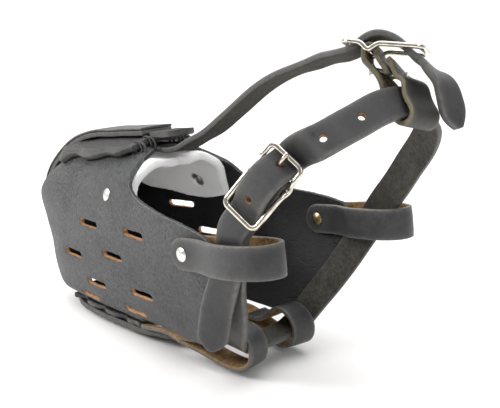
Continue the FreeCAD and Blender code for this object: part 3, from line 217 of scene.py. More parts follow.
NOSE = [
    [0, -52.046, 137.4, 1, 0, 0, 26, 3.6],
    [0, -63.046, 135.8, 1, 0, 0, 26, 3.6],
    [0, -76.046, 134, 1, 0, 0, 26, 3.6],
    [0, -90.046, 131.8, 1, 0, 0, 26, 3.6],
    [0, -104.046, 130, 1, 0, 0, 26, 3.6],
    [0, -118.046, 126.6, 1, 0, 0, 26, 3.6],
    [0, -131.046, 121.8, 1, 0, 0, 26, 3.6],
    [0, -143.046, 115, 1, 0, 0, 26, 3.6],
    [0, -154.046, 106.8, 1, 0, 0, 26, 3.6],
    [0, -163.046, 98.3, 1, 0, 0, 26, 3.6],
    [0, -169.546, 89.8, 1, 0, 0, 26, 3.6],
    [0, -173.046, 79.3, 1, 0, 0, 26, 3.6],
    [0, -169.546, 67.8, 1, 0, 0, 26, 3.6],
    [0, -164.846, 54.8, 1, 0, 0, 26, 3.6],
    [0, -161.846, 40.8, 1, 0, 0, 26, 3.6],
    [0, -157.546, 27.8, 1, 0, 0, 26, 3.6],
    [0, -151.046, 16.8, 1, 0, 0, 26, 3.6],
]
TAB = [
    [0, -44.646, 135, 1, 0, 0, 24, 4.2],
    [0, -42.046, 135.4, 1, 0, 0, 24, 4.2],
    [0, -34.046, 136.4, 1, 0, 0, 24, 4.2],
    [0, -22.046, 138.6, 1, 0, 0, 24, 4.2],
]
NB = [[55.3, 105.354, 131.8], [-0.40386, 0.46684, 0.78673], [-0.15308, 0.81338, -0.56123], [0.90192, 0.34709, 0.25703]]
CB = [[-8.0, 134.154, 201.9], [0.41079, -0.91076, 0.04208], [-0.87136, -0.40577, -0.27584], [-0.2683, -0.07665, 0.96028]]
NECK_HOLES = [[[0.224, 153.651, 175.638], [-0.1965, -0.6975, -0.6891]], [[24.0, 144.754, 169.1], [-0.5537, -0.6093, -0.5676]], [[43.43, 133.569, 162.959], [-0.8008, -0.4205, -0.4266]], [[61.088, 102.276, 125.755], [-0.9742, -0.0291, 0.2236]]]
FORE_HOLES = [[[-12.167, 141.594, 204.11], [-0.4489, 0.4326, 0.7819]]]
SLOTS = [
    [[42.632, -75.545, 74.199], [0.9902, -0.1391, 0.0088], [0.1391, 0.9903, 0.0012], 4.2],
    [[50.63, -15.447, 80.201], [0.9886, -0.1397, -0.0557], [0.1395, 0.9902, -0.0079], 4.2],
    [[38.052, -101.547, 47.099], [0.9894, -0.133, -0.0584], [0.1328, 0.9911, -0.0078], 4.2],
    [[45.121, -46.048, 58.1], [0.9887, -0.1031, -0.1093], [0.1025, 0.9947, -0.0113], 4.2],
    [[40.18, -72.045, 31.8], [0.9834, -0.0796, -0.1629], [0.0786, 0.9968, -0.013], 4.2],
    [[45.814, -14.347, 39.399], [0.9898, -0.0678, -0.1255], [0.0673, 0.9977, -0.0085], 4.2],
    [[35.579, -86.046, 18.3], [0.9165, -0.0692, -0.3939], [0.0636, 0.9976, -0.0273], 3.4],
    [[40.322, -28.047, 22.8], [0.916, -0.0509, -0.3979], [0.0467, 0.9987, -0.0203], 3.4],
]
KP = [59.594, 48.254, 83.801]
NP = [[43.953, -51.047, 98.799], [0.9415, -0.1934, 0.276]]
NECK_FLEX = [[60.33154, 78.39066, 68.32962], [-0.311825, 0.870498, -0.380787]]
FORE_FLEX = [[-16.11442, 159.64589, 189.05063], [0.836534, 0.524752, 0.157627]]



# ---------------------------------------------------------------- small maths
def unit(v):
    v = np.asarray(v, float)
    return v / np.linalg.norm(v)


def chord(P):
    d = np.linalg.norm(np.diff(P, axis=0), axis=1)
    t = np.concatenate([[0], np.cumsum(d)])
    return t / t[-1]


class Spline:
    """Natural cubic through points."""

    def __init__(self, t, P):
        self.t, self.P = np.asarray(t, float), np.asarray(P, float)
        n = len(t)
        h = np.diff(self.t)
        A = np.zeros((n, n))
        B = np.zeros((n, self.P.shape[1]))
        A[0, 0] = A[-1, -1] = 1
        for i in range(1, n - 1):
            A[i, i - 1], A[i, i], A[i, i + 1] = h[i - 1], 2 * (h[i - 1] + h[i]), h[i]
            B[i] = 6 * ((self.P[i + 1] - self.P[i]) / h[i] - (self.P[i] - self.P[i - 1]) / h[i - 1])
        self.M = np.linalg.solve(A, B)

    def at(self, u):
        u = np.atleast_1d(u)
        k = np.clip(np.searchsorted(self.t, u, side="right") - 1, 0, len(self.t) - 2)
        h = (self.t[k + 1] - self.t[k])[:, None]
        a, b = (self.t[k + 1] - u)[:, None], (u - self.t[k])[:, None]
        M0, M1, P0, P1 = self.M[k], self.M[k + 1], self.P[k], self.P[k + 1]
        return M0 * a ** 3 / (6 * h) + M1 * b ** 3 / (6 * h) + (P0 / h - M0 * h / 6) * a + (P1 / h - M1 * h / 6) * b


def smooth_w(t, W, u):
    n = len(t)
    out = np.zeros((len(u), 3))
    sl = np.zeros((n, 3))
    for i in range(1, n - 1):
        sl[i] = (W[i + 1] - W[i - 1]) / (t[i + 1] - t[i - 1])
    for j, x in enumerate(u):
        k = min(max(int(np.searchsorted(t, x, side="right")) - 1, 0), n - 2)
        h = t[k + 1] - t[k]
        f = min(max((x - t[k]) / h, 0), 1)
        out[j] = W[k] * (2 * f ** 3 - 3 * f * f + 1) + sl[k] * h * (f ** 3 - 2 * f * f + f) + W[k + 1] * (3 * f * f - 2 * f ** 3) + sl[k + 1] * h * (f ** 3 - f * f)
    return out


def waves(P, seed, scale, n=7):
    """Smooth repeatable noise from a sum of waves. P in mm, scale in mm."""
    rng = np.random.RandomState(seed)
    out = np.zeros(len(P))
    for _ in range(n):
        k = rng.normal(size=3) * 2 * math.pi / scale * 0.6
        out += np.sin(P @ k + rng.uniform(0, 6.28)) / n
    return out * 1.8


def mesh_obj(name, V, F, mats, attrs=None, smooth=True, face_mat=None):
    me = bpy.data.meshes.new(name)
    me.from_pydata([tuple(v) for v in np.asarray(V) * MM], [], [tuple(int(i) for i in f) for f in F])
    me.validate()
    if smooth:
        me.polygons.foreach_set("use_smooth", [True] * len(me.polygons))
    for m in mats:
        me.materials.append(m)
    if face_mat is not None:
        me.polygons.foreach_set("material_index", face_mat)
    for k, v in (attrs or {}).items():
        a = me.attributes.new(k, "FLOAT", "POINT")
        a.data.foreach_set("value", np.asarray(v, np.float32))
    me.update()
    o = bpy.data.objects.new(name, me)
    bpy.context.scene.collection.objects.link(o)
    return o


def apply_mods(o):
    bpy.context.view_layer.update()
    dg = bpy.context.evaluated_depsgraph_get()
    me = bpy.data.meshes.new_from_object(o.evaluated_get(dg), preserve_all_data_layers=True, depsgraph=dg)
    o.modifiers.clear()
    old = o.data
    o.data = me
    me.name = old.name
    return o


def cut(o, cutter):
    m = o.modifiers.new("cut", "BOOLEAN")
    m.operation = "DIFFERENCE"
    m.solver = "EXACT"
    m.object = cutter
    if hasattr(m, "material_mode"):
        m.material_mode = "TRANSFER"
    apply_mods(o)
    bpy.data.objects.remove(cutter, do_unlink=True)


def cylinder(p, axis, r, length, mat, seg=24):
    """A cutter: many-sided rod centred on p."""
    axis = unit(axis)
    e = unit(np.cross(axis, [0.31, 0.77, 0.55]))
    f = np.cross(axis, e)
    V, F = [], []
    for s in (-1, 1):
        for k in range(seg):
            a = 2 * math.pi * k / seg
            V.append(np.asarray(p) + axis * s * length / 2 + (e * math.cos(a) + f * math.sin(a)) * r)
    for k in range(seg):
        j = (k + 1) % seg
        F.append((k, j, seg + j, seg + k))
    F.append(tuple(range(seg))[::-1])
    F.append(tuple(range(seg, 2 * seg)))
    return mesh_obj("cutter", V, F, [mat], smooth=False)


# ---------------------------------------------------------------- materials
def nodes_of(name):
    m = bpy.data.materials.new(name)
    m.use_nodes = True
    nt = m.node_tree
    nt.nodes.clear()
    out = nt.nodes.new("ShaderNodeOutputMaterial")
    b = nt.nodes.new("ShaderNodeBsdfPrincipled")
    nt.links.new(b.outputs[0], out.inputs[0])
    return m, nt, b


def N(nt, kind, **kw):
    n = nt.nodes.new(kind)
    for k, v in kw.items():
        if k.startswith("i_"):
            n.inputs[int(k[2:])].default_value = v
        elif k.startswith("in_"):
            n.inputs[k[3:]].default_value = v
        else:
            setattr(n, k, v)
    return n


def L(nt, a, b):
    nt.links.new(a, b)


def noise(nt, co, scale, detail=4.0, rough=0.55, dist=0.0):
    n = N(nt, "ShaderNodeTexNoise", in_Scale=scale, in_Detail=detail, in_Roughness=rough, in_Distortion=dist)
    L(nt, co, n.inputs["Vector"])
    return n.outputs[0]


def voro(nt, co, scale, feature="F1", rand=1.0):
    n = N(nt, "ShaderNodeTexVoronoi", feature=feature, in_Scale=scale, in_Randomness=rand)
    L(nt, co, n.inputs["Vector"])
    return n.outputs["Distance"]


def ramp(nt, fac, stops, interp="LINEAR"):
    r = nt.nodes.new("ShaderNodeValToRGB")
    r.color_ramp.interpolation = interp
    e = r.color_ramp.elements
    while len(e) < len(stops):
        e.new(0.5)
    for el, (p, c) in zip(e, stops):
        el.position = p
        el.color = (c, c, c, 1) if not hasattr(c, "__len__") else tuple(c) + (1,)
    L(nt, fac, r.inputs[0])
    return r.outputs[0]


def mixc(nt, fac, a, b, mode="MIX"):
    n = nt.nodes.new("ShaderNodeMix")
    n.data_type = "RGBA"
    n.blend_type = mode
    if hasattr(fac, "links") or hasattr(fac, "is_linked"):
        L(nt, fac, n.inputs[0])
    else:
        n.inputs[0].default_value = fac
    for s, v in ((6, a), (7, b)):
        if hasattr(v, "__len__"):
            n.inputs[s].default_value = tuple(v) + (1,)
        else:
            L(nt, v, n.inputs[s])
    return n.outputs[2]


def maths(nt, op, a, b=None, c=None, clamp=False):
    n = N(nt, "ShaderNodeMath", operation=op)
    n.use_clamp = clamp
    for i, v in enumerate((a, b, c)):
        if v is None:
            continue
        if isinstance(v, (int, float)):
            n.inputs[i].default_value = v
        else:
            L(nt, v, n.inputs[i])
    return n.outputs[0]


def attr(nt, name):
    n = N(nt, "ShaderNodeAttribute", attribute_name=name)
    return n.outputs["Fac"]


def bump(nt, h, dist, strength=1.0, prev=None):
    n = N(nt, "ShaderNodeBump", in_Strength=strength, in_Distance=dist)
    L(nt, h, n.inputs["Height"])
    if prev is not None:
        L(nt, prev, n.inputs["Normal"])
    return n.outputs[0]


def leather(name, dark, light, speck, grain=1250.0, pebble=0.00016, rough=(0.42, 0.62), edge_col=(0.10, 0.095, 0.09), edge_amt=0.55,
            flesh=((0.05, 0.042, 0.03), (0.16, 0.12, 0.07)), crease=0.0, spec=0.42, coat=0.0, pits=0.0, rim_dark_and_highlight=False):
    """Dyed grain leather: pebbled grain, mottled dye, worn edges (attribute 'edge'), raw flesh side (attribute
    'flesh'); optionally near-black inward faces (black dye plus painted shade) and a painted highlight line along the
    cut rim.
    """
    m, nt, b = nodes_of(name)
    co = N(nt, "ShaderNodeTexCoord").outputs["Object"]
    big = noise(nt, co, 26, 4, 0.6)
    mid = noise(nt, co, 130, 5, 0.62)
    fine = noise(nt, co, 900, 3, 0.7)
    cells = voro(nt, co, grain)
    edges = voro(nt, co, grain, "DISTANCE_TO_EDGE")
    base = mixc(nt, ramp(nt, maths(nt, "ADD", maths(nt, "MULTIPLY", big, 0.55), maths(nt, "MULTIPLY", mid, 0.45)), [(0.38, 0.0), (0.62, 1.0)]), dark, light)
    # tiny pale pits and rubbed grain tops
    pt = ramp(nt, maths(nt, "MULTIPLY", ramp(nt, fine, [(0.60, 0.0), (0.72, 1.0)]), ramp(nt, mid, [(0.42, 0.15), (0.62, 1.0)])), [(0.0, 0.0), (1.0, 1.0)])
    base = mixc(nt, maths(nt, "MULTIPLY", pt, 0.6), base, speck)
    # open pores: small dark pits, thicker in patches
    pore = ramp(nt, noise(nt, co, 620, 2, 0.5), [(0.36, 1.0), (0.45, 0.0)])
    patch = ramp(nt, noise(nt, co, 38, 3, 0.6), [(0.36, 0.3), (0.56, 1.0)])
    pore = maths(nt, "MULTIPLY", maths(nt, "MULTIPLY", pore, patch), pits)
    base = mixc(nt, maths(nt, "MULTIPLY", pore, 0.8), base, (0.008, 0.008, 0.009))
    if pits:
        mott = noise(nt, co, 480, 3, 0.65)
        base = mixc(nt, ramp(nt, mott, [(0.36, 0.55 * min(1, pits + 0.1)), (0.52, 0.0)]), base, (0.010, 0.010, 0.011))
        base = mixc(nt, ramp(nt, mott, [(0.58, 0.0), (0.74, 0.2 * min(1, pits + 0.1))]), base, speck)
        # inward faces near-black: partly the black dye, partly painted shade inside the muzzle
        base = mixc(nt, maths(nt, "MULTIPLY", attr(nt, "inner_black_and_shade"), 0.93), base, mixc(nt, mid, (0.006, 0.006, 0.0065), (0.016, 0.016, 0.017)))
    # edge wear
    ew = maths(nt, "MULTIPLY", attr(nt, "edge"), ramp(nt, noise(nt, co, 320, 4, 0.65), [(0.30, 0.35), (0.65, 1.0)]), clamp=True)
    base = mixc(nt, maths(nt, "MULTIPLY", ew, edge_amt), base, edge_col)
    # flesh side
    fm = ramp(nt, maths(nt, "ADD", maths(nt, "MULTIPLY", noise(nt, co, 420, 5, 0.7), 0.7), maths(nt, "MULTIPLY", noise(nt, co, 60, 3, 0.5), 0.3)), [(0.36, 0.0), (0.66, 1.0)])
    fl = mixc(nt, fm, flesh[0], flesh[1])
    fa = maths(nt, "MULTIPLY", attr(nt, "flesh"), 1.0, clamp=True)
    base = mixc(nt, fa, base, fl)
    # cut walls, raw tan fibre
    ca = maths(nt, "MULTIPLY", attr(nt, "cut"), 1.0, clamp=True)
    tan = mixc(nt, ramp(nt, noise(nt, co, 700, 4, 0.7), [(0.3, 0.0), (0.7, 1.0)]), (0.34, 0.14, 0.05), (0.85, 0.50, 0.24))
    base = mixc(nt, ca, base, tan)
    # cut rim darkened; along its border a painted highlight line stands in for light catching the rim
    if rim_dark_and_highlight:
        e = attr(nt, "edge")
        base = mixc(nt, ramp(nt, e, [(0.45, 0.0), (0.8, 0.85)]), base, (0.020, 0.020, 0.021))
        rim_highlight_line = ramp(nt, e, [(0.05, 0.0), (0.3, 0.9), (0.6, 0.0)])
        base = mixc(nt, rim_highlight_line, base, (0.40, 0.40, 0.39))
    L(nt, base, b.inputs["Base Color"])
    r = ramp(nt, maths(nt, "ADD", maths(nt, "MULTIPLY", mid, 0.6), maths(nt, "MULTIPLY", fine, 0.4)), [(0.3, rough[0]), (0.7, rough[1])])
    r = mixc(nt, maths(nt, "MAXIMUM", fa, ca), r, (0.9, 0.9, 0.9))
    L(nt, r, b.inputs["Roughness"])
    b.inputs["Specular IOR Level"].default_value = spec
    if coat:
        b.inputs["Coat Weight"].default_value = coat
        b.inputs["Coat Roughness"].default_value = 0.32
    h = maths(nt, "MULTIPLY", ramp(nt, edges, [(0.0, 0.0), (0.25, 1.0)]), 0.6)
    h = maths(nt, "ADD", h, maths(nt, "MULTIPLY", fine, 0.5))
    nb = bump(nt, h, pebble, 0.9)
    if pits:
        nb = bump(nt, maths(nt, "SUBTRACT", 1.0, pore), 0.0006, 0.7 * min(1, pits + 0.2), nb)
    nb = bump(nt, mid, 0.0009, 0.35, nb)
    if crease:
        c = voro(nt, N_map(nt, co, (1.0, 0.55, 1.3)), 95, "DISTANCE_TO_EDGE")
        c2 = voro(nt, N_map(nt, co, (1.2, 0.7, 1.0), (0.3, 0.1, 0.2)), 210, "DISTANCE_TO_EDGE")
        hc = maths(nt, "ADD", ramp(nt, c, [(0.0, 0.0), (0.05, 1.0)]), maths(nt, "MULTIPLY", ramp(nt, c2, [(0.0, 0.0), (0.08, 1.0)]), 0.5))
        hc = mixc(nt, ramp(nt, big, [(0.40, 0.0), (0.62, 1.0)]), (1.5, 1.5, 1.5), hc)
        nb = bump(nt, hc, 0.0006 * crease, 0.5, nb)
    L(nt, nb, b.inputs["Normal"])
    return m


def N_map(nt, co, scale, loc=(0, 0, 0)):
    n = nt.nodes.new("ShaderNodeMapping")
    n.inputs["Scale"].default_value = scale
    n.inputs["Location"].default_value = loc
    L(nt, co, n.inputs["Vector"])
    return n.outputs[0]


def metal(name, col, col2, rough=(0.12, 0.3), bump_d=0.00006, scale=240):
    m, nt, b = nodes_of(name)
    co = N(nt, "ShaderNodeTexCoord").outputs["Object"]
    a = noise(nt, co, scale, 5, 0.65)
    c = noise(nt, co, scale * 5, 3, 0.6)
    L(nt, mixc(nt, ramp(nt, a, [(0.42, 0.0), (0.68, 1.0)]), col, col2), b.inputs["Base Color"])
    b.inputs["Metallic"].default_value = 1.0
    L(nt, ramp(nt, maths(nt, "ADD", maths(nt, "MULTIPLY", a, 0.5), maths(nt, "MULTIPLY", c, 0.5)), [(0.35, rough[0]), (0.7, rough[1])]), b.inputs["Roughness"])
    L(nt, bump(nt, maths(nt, "ADD", a, maths(nt, "MULTIPLY", c, 0.3)), bump_d, 0.6), b.inputs["Normal"])
    return m


def felt_mat():
    m, nt, b = nodes_of("white_felt")
    co = N(nt, "ShaderNodeTexCoord").outputs["Object"]
    f1 = noise(nt, co, 1500, 6, 0.75, 1.2)
    f2 = noise(nt, co, 320, 5, 0.7, 0.8)
    f3 = noise(nt, co, 40, 3, 0.5)
    col = mixc(nt, ramp(nt, f2, [(0.30, 0.0), (0.60, 1.0)]), (0.86, 0.86, 0.85), (0.97, 0.97, 0.965))
    col = mixc(nt, maths(nt, "MULTIPLY", ramp(nt, f3, [(0.50, 0.0), (0.80, 1.0)]), 0.25), col, (0.78, 0.77, 0.75))
    # painted shade: near-black spot where the rivet dimples the felt
    col = mixc(nt, maths(nt, "MULTIPLY", attr(nt, "dimple_shade"), 1.0, clamp=True), col, (0.012, 0.012, 0.012))
    L(nt, col, b.inputs["Base Color"])
    b.inputs["Roughness"].default_value = 0.95
    b.inputs["Sheen Weight"].default_value = 0.5
    b.inputs["Sheen Roughness"].default_value = 0.6
    b.inputs["Specular IOR Level"].default_value = 0.15
    b.inputs["Subsurface Weight"].default_value = 0.35
    # painted light: a faint emission makes the felt glow, brightening its shaded inside
    L(nt, col, b.inputs["Emission Color"])
    b.inputs["Emission Strength"].default_value = 0.13
    b.inputs["Subsurface Radius"].default_value = (1.0, 0.95, 0.9)
    b.inputs["Subsurface Scale"].default_value = 0.008
    nb = bump(nt, f1, 0.0006, 0.8)
    nb = bump(nt, f2, 0.0012, 0.6, nb)
    L(nt, nb, b.inputs["Normal"])
    return m


def plain(name, c0, c1, scale, rough, dist):
    m, nt, b = nodes_of(name)
    co = N(nt, "ShaderNodeTexCoord").outputs["Object"]
    a = noise(nt, co, scale, 5, 0.65)
    L(nt, mixc(nt, ramp(nt, a, [(0.35, 0.0), (0.65, 1.0)]), c0, c1), b.inputs["Base Color"])
    b.inputs["Roughness"].default_value = rough
    L(nt, bump(nt, a, dist, 0.7), b.inputs["Normal"])
    return m


M_SHELL = leather("shell_leather", (0.036, 0.037, 0.040), (0.075, 0.076, 0.078), (0.30, 0.30, 0.30), grain=1150, pebble=0.00040, rough=(0.40, 0.60), crease=1.5, spec=0.5,
                  edge_col=(0.15, 0.15, 0.15), edge_amt=0.0, pits=1.0, rim_dark_and_highlight=True)
M_STRAP = leather("strap_leather", (0.010, 0.010, 0.011), (0.027, 0.027, 0.028), (0.10, 0.10, 0.105), grain=1700, pebble=0.00012, rough=(0.30, 0.46), spec=0.55, edge_col=(0.17, 0.165, 0.155), edge_amt=0.6,
                  flesh=((0.014, 0.0135, 0.0115), (0.062, 0.057, 0.045)), pits=0.15)
M_LOOP = leather("loop_leather", (0.012, 0.012, 0.0135), (0.034, 0.034, 0.035), (0.11, 0.11, 0.11), grain=1700, pebble=0.00012, rough=(0.30, 0.46), spec=0.55, edge_col=(0.17, 0.165, 0.155), edge_amt=0.6,
                 flesh=((0.12, 0.065, 0.028), (0.42, 0.26, 0.11)), pits=0.15)
M_TAB = leather("crown_tab_leather", (0.012, 0.012, 0.012), (0.034, 0.033, 0.030), (0.12, 0.12, 0.10), grain=1500, pebble=0.00016, rough=(0.32, 0.5), spec=0.5, edge_col=(0.20, 0.17, 0.10), edge_amt=0.7,
                flesh=((0.030, 0.027, 0.018), (0.20, 0.15, 0.06)), pits=0.3)
M_CHIN = leather("chin_leather", (0.011, 0.011, 0.012), (0.032, 0.032, 0.033), (0.14, 0.14, 0.13), grain=1300, pebble=0.00030, rough=(0.30, 0.52), crease=1.2, spec=0.6, edge_col=(0.13, 0.125, 0.11), edge_amt=0.6, pits=0.5)
M_TAN = plain("cut_leather", (0.22, 0.09, 0.035), (0.55, 0.29, 0.12), 600, 0.9, 0.0004)
M_FELT = felt_mat()
M_NICKEL = metal("nickel_buckle", (0.74, 0.70, 0.61), (0.46, 0.42, 0.35), (0.12, 0.26), bump_d=0.00012, scale=190)
M_TONGUE = metal("nickel_tongue", (0.74, 0.64, 0.58), (0.52, 0.42, 0.37), (0.14, 0.30), bump_d=0.0001)
M_RIVET = metal("nickel_rivet", (0.82, 0.81, 0.77), (0.60, 0.58, 0.53), (0.22, 0.45), bump_d=0.00012, scale=500)
M_BRASS = metal("aged_brass", (0.50, 0.40, 0.22), (0.20, 0.15, 0.09), (0.22, 0.45), bump_d=0.00015, scale=420)
M_THREAD = plain("waxed_thread", (0.012, 0.012, 0.013), (0.05, 0.05, 0.052), 1500, 0.6, 0.0002)


# ---------------------------------------------------------------- bands
def section(w, t, r, ncr, ngr):
    """Rounded strap section. Returns (across, normal, edge, flesh) rows; the grain side is +normal."""
    pts = []
    hw, ht = w / 2, t / 2
    na = 14
    for i in range(na + 1):
        f = -1 + 2 * i / na
        f = math.copysign(abs(f) ** 0.85, f)
        a = f * (hw - r)
        crown = ncr * (1 - (a / hw) ** 2)
        d = hw - abs(a)
        groove = -ngr * math.exp(-((d - 2.1) / 0.5) ** 2)
        pts.append((a, ht - ncr * 0.35 + crown * 0.35 + groove, math.exp(-max(0, d - r) / 1.1) * 0.8, 0))
    for k in range(1, 5):
        g = math.pi / 2 * (1 - k / 4)
        pts.append((hw - r + r * math.cos(g), ht - ncr * 0.35 - r + r * math.sin(g), 1.0, 0.0))
    for k in range(1, 4):
        pts.append((hw, (ht - ncr * 0.35 - r) + (-(ht - r) - (ht - ncr * 0.35 - r)) * k / 4, 0.75, 0.25))
    for k in range(0, 5):
        g = -math.pi / 2 * k / 4
        pts.append((hw - r + r * math.cos(g), -(ht - r) + r * math.sin(g), 0.8, 0.5 + 0.125 * k))
    for i in range(1, na):
        a = (hw - r) * (1 - 2 * i / na)
        pts.append((a, -ht, 0, 1))
    for k in range(0, 5):
        g = -math.pi / 2 - math.pi / 2 * k / 4
        pts.append((-(hw - r) + r * math.cos(g), -(ht - r) + r * math.sin(g), 0.8, 1.0 - 0.125 * k))
    for k in range(1, 4):
        pts.append((-hw, -(ht - r) + ((ht - ncr * 0.35 - r) + (ht - r)) * k / 4, 0.75, 0.25))
    for k in range(0, 4):
        g = math.pi - math.pi / 2 * k / 4
        pts.append((-(hw - r) + r * math.cos(g), ht - ncr * 0.35 - r + r * math.sin(g), 1.0, 0.0))
    return np.array(pts)


def taper(s, kind, r):
    if not kind or s >= r:
        return 1.0
    if kind == "round":
        return max(0.04, math.sqrt(max(0.0, 1 - ((r - s) / r) ** 2)))
    return 0.24 + 0.76 * (1 - ((r - s) / r) ** 2.2)


def band(name, st, mat, grain=1, lo=0.0, hi=1.0, start=None, end=None, r=0.9, crown=0.45, groove=0.0, step=1.3, seed=1, t_add=0.0, w_add=0.0, wob=0.12, flesh=1.0):
    """A strap swept along its route. stations: x y z wx wy wz width thick."""
    st = np.array(st, float)
    P, W = st[:, :3], st[:, 3:6]
    W = W / np.linalg.norm(W, axis=1)[:, None]
    t = chord(P)
    sp = Spline(t, P)
    uu = np.linspace(0, 1, 4000)
    C = sp.at(uu)
    acc = np.concatenate([[0], np.cumsum(np.linalg.norm(np.diff(C, axis=0), axis=1))])
    Lt = acc[-1]
    s0, s1 = np.interp(lo, uu, acc), np.interp(hi, uu, acc)
    n = max(6, int((s1 - s0) / step))
    S = list(np.linspace(s0, s1, n + 1))
    for kind, side in ((start, 0), (end, 1)):
        if kind:
            for f in (0.01, 0.03, 0.07, 0.13, 0.2, 0.3, 0.42, 0.56, 0.7, 0.85):
                S.append(kind[1] * f if side == 0 else Lt - kind[1] * f)
    S = np.array(sorted(set(round(x, 4) for x in S if s0 - 1e-6 <= x <= s1 + 1e-6)))
    keep = [0]
    for i in range(1, len(S)):
        if S[i] - S[keep[-1]] > 0.08:
            keep.append(i)
    S = S[keep]
    U = np.interp(S, acc, uu)
    C = sp.at(U)
    T = sp.at(np.minimum(U + 1e-4, 1)) - sp.at(np.maximum(U - 1e-4, 0))
    T /= np.linalg.norm(T, axis=1)[:, None]
    Wd = smooth_w(t, W, U)
    Wd -= T * (Wd * T).sum(1)[:, None]
    Wd /= np.linalg.norm(Wd, axis=1)[:, None]
    Nn = np.cross(Wd, T) * grain
    width = np.interp(U, t, st[:, 6]) + w_add
    thick = np.interp(U, t, st[:, 7]) + t_add
    V, E, Fl = [], [], []
    m = None
    for i in range(len(S)):
        k = 1.0
        if start:
            k *= taper(S[i], start[0], start[1])
        if end:
            k *= taper(Lt - S[i], end[0], end[1])
        w = width[i] * k
        rr = min(r, thick[i] * 0.42, w * 0.4)
        sec = section(w, thick[i], rr, crown * min(1, k * 1.5), groove * (1 if k > 0.9 else 0))
        m = len(sec)
        V.append(C[i] + sec[:, 0:1] * Wd[i] + sec[:, 1:2] * Nn[i])
        E.append(np.maximum(sec[:, 2], 1.0 if (k < 0.35) else 0.0))
        Fl.append(sec[:, 3] * flesh)
    V = np.concatenate(V)
    nrm = np.repeat(Nn, m, axis=0)
    V = V + nrm * (waves(V, seed, 30) * wob)[:, None]
    F = []
    for i in range(len(S) - 1):
        a, b2 = i * m, (i + 1) * m
        for j in range(m):
            q = (j + 1) % m
            F.append((a + j, a + q, b2 + q, b2 + j))
    F.append(tuple(range(m))[::-1])
    F.append(tuple(range((len(S) - 1) * m, len(S) * m)))
    if grain > 0:
        F = [f[::-1] for f in F]
    o = mesh_obj(name, V, F, [mat], {"edge": np.concatenate(E), "flesh": np.concatenate(Fl), "cut": np.zeros(len(V))})
    bm = bmesh.new()
    bm.from_mesh(o.data)
    bmesh.ops.recalc_face_normals(bm, faces=bm.faces)
    bm.to_mesh(o.data)
    bm.free()
    return o


def hole(o, p, axis, r=2.1, depth=7.0):
    cut(o, cylinder(p, axis, r, depth, M_TAN, 28))


def strap_u(st, p):
    st = np.array(st, float)
    t = chord(st[:, :3])
    sp = Spline(t, st[:, :3])
    uu = np.linspace(0, 1, 6000)
    return uu[np.argmin(np.linalg.norm(sp.at(uu) - np.asarray(p), axis=1))]


def LOC(B, a, n=0.0, w=0.0):
    return np.array(B[0]) + np.array(B[1]) * a + np.array(B[3]) * n + np.array(B[2]) * w


def mirror_st(st):
    return [[-s[0], s[1], s[2], -s[3], s[4], s[5], s[6], s[7]] for s in st]


BODY = "muzzle_body"

# the leather lies straighter than the plain solids where it runs in at the two buckles
def on_line(p, a, b):
    """Moves p up or down as seen from the camera side until it lies between a and b."""
    c = np.array([404.41, 457.2, 245.95])
    f = unit(np.array([0, 38.416, 100.8]) - c)
    r = unit(np.cross(f, [0, 0, 1]))
    up = np.cross(r, f)
    q = lambda v: np.array([(v - c) @ r, (v - c) @ up]) / ((v - c) @ f)
    A, B, P0 = q(np.array(a)), q(np.array(b)), q(np.array(p))
    t = (P0[0] - A[0]) / (B[0] - A[0])
    want = A[1] + (B[1] - A[1]) * t
    return np.array(p) + up * (want - P0[1]) * ((np.array(p) - c) @ f)


a0, b0 = NECK[37][:3], NECK[42][:3]
for i, w in ((38, (0.0, 0.69, -0.72)), (39, (-0.05, 0.72, -0.69)), (40, (-0.10, 0.76, -0.64))):
    NECK[i] = list(on_line(NECK[i][:3], a0, b0)) + list(w) + NECK[i][6:]
NECK = NECK[:41] + NECK[42:]
FORE[12] = [2.2, 102.5, 194.9, 0.93, 0.27, 0.22, 19.0, 4.0]
FORE[22] = FORE[22][:1] + [FORE[22][1] + 0.3, FORE[22][2] + 0.3, 0.93, 0.29, 0.21, 19.0, 4.0]
FORE[23] = [-17.6, 163.6, 186.2, 0.985, 0.08, 0.12, 19.0, 4.0]
FORE[24] = [-19.4, 169.0, 174.1, 0.995, -0.05, 0.04, 19.0, 4.0]
FORE[25] = [-20.8, 173.2, 161.8, 0.995, -0.08, 0.02, 19.0, 4.0]
FORE = FORE[:13] + FORE[14:]

# neck strap: everything up to the keeper, then the free tail
u_split = strap_u(NECK, (61.5, 85.2, 85.3))
# the route passes the keeper twice; the free layer is the last one
u_split = max(u_split, 0.86)
neck = band("neck_strap_leather", NECK, M_STRAP, grain=-1, hi=u_split, seed=3, step=1.25, groove=0.12)
neck_tail = band("neck_strap_tail_leather", NECK, M_STRAP, grain=-1, lo=u_split, end=("point", 14.0), seed=3, step=1.0, groove=0.12)
def on_route(st, p):
    s = np.array(st, float)
    t = chord(s[:, :3])
    sp = Spline(t, s[:, :3])
    u = strap_u(st, p)
    T = unit((sp.at(min(u + 1e-3, 1)) - sp.at(max(u - 1e-3, 0)))[0])
    w = smooth_w(t, s[:, 3:6], [u])[0]
    return sp.at(u)[0], unit(np.cross(w, T))


for p, ax in NECK_HOLES:
    hole(neck, *on_route(NECK, p))
TIPS = dict(a=LOC(NB, 6.75, -3.5), b=LOC(NB, 18.7, 2.76))
hole(neck, (TIPS["a"] * 0.45 + TIPS["b"] * 0.55), TIPS["b"] - TIPS["a"], 2.0, 9)
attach(neck, BODY)
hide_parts("neck_strap")
fp, fw = np.array(NECK_FLEX[0]), np.array(NECK_FLEX[1])
i0 = strap_u(NECK, fp)
stn = np.array(NECK, float)
tn = chord(stn[:, :3])
spn = Spline(tn, stn[:, :3])
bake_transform(neck_tail)
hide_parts("neck_strap_tail")

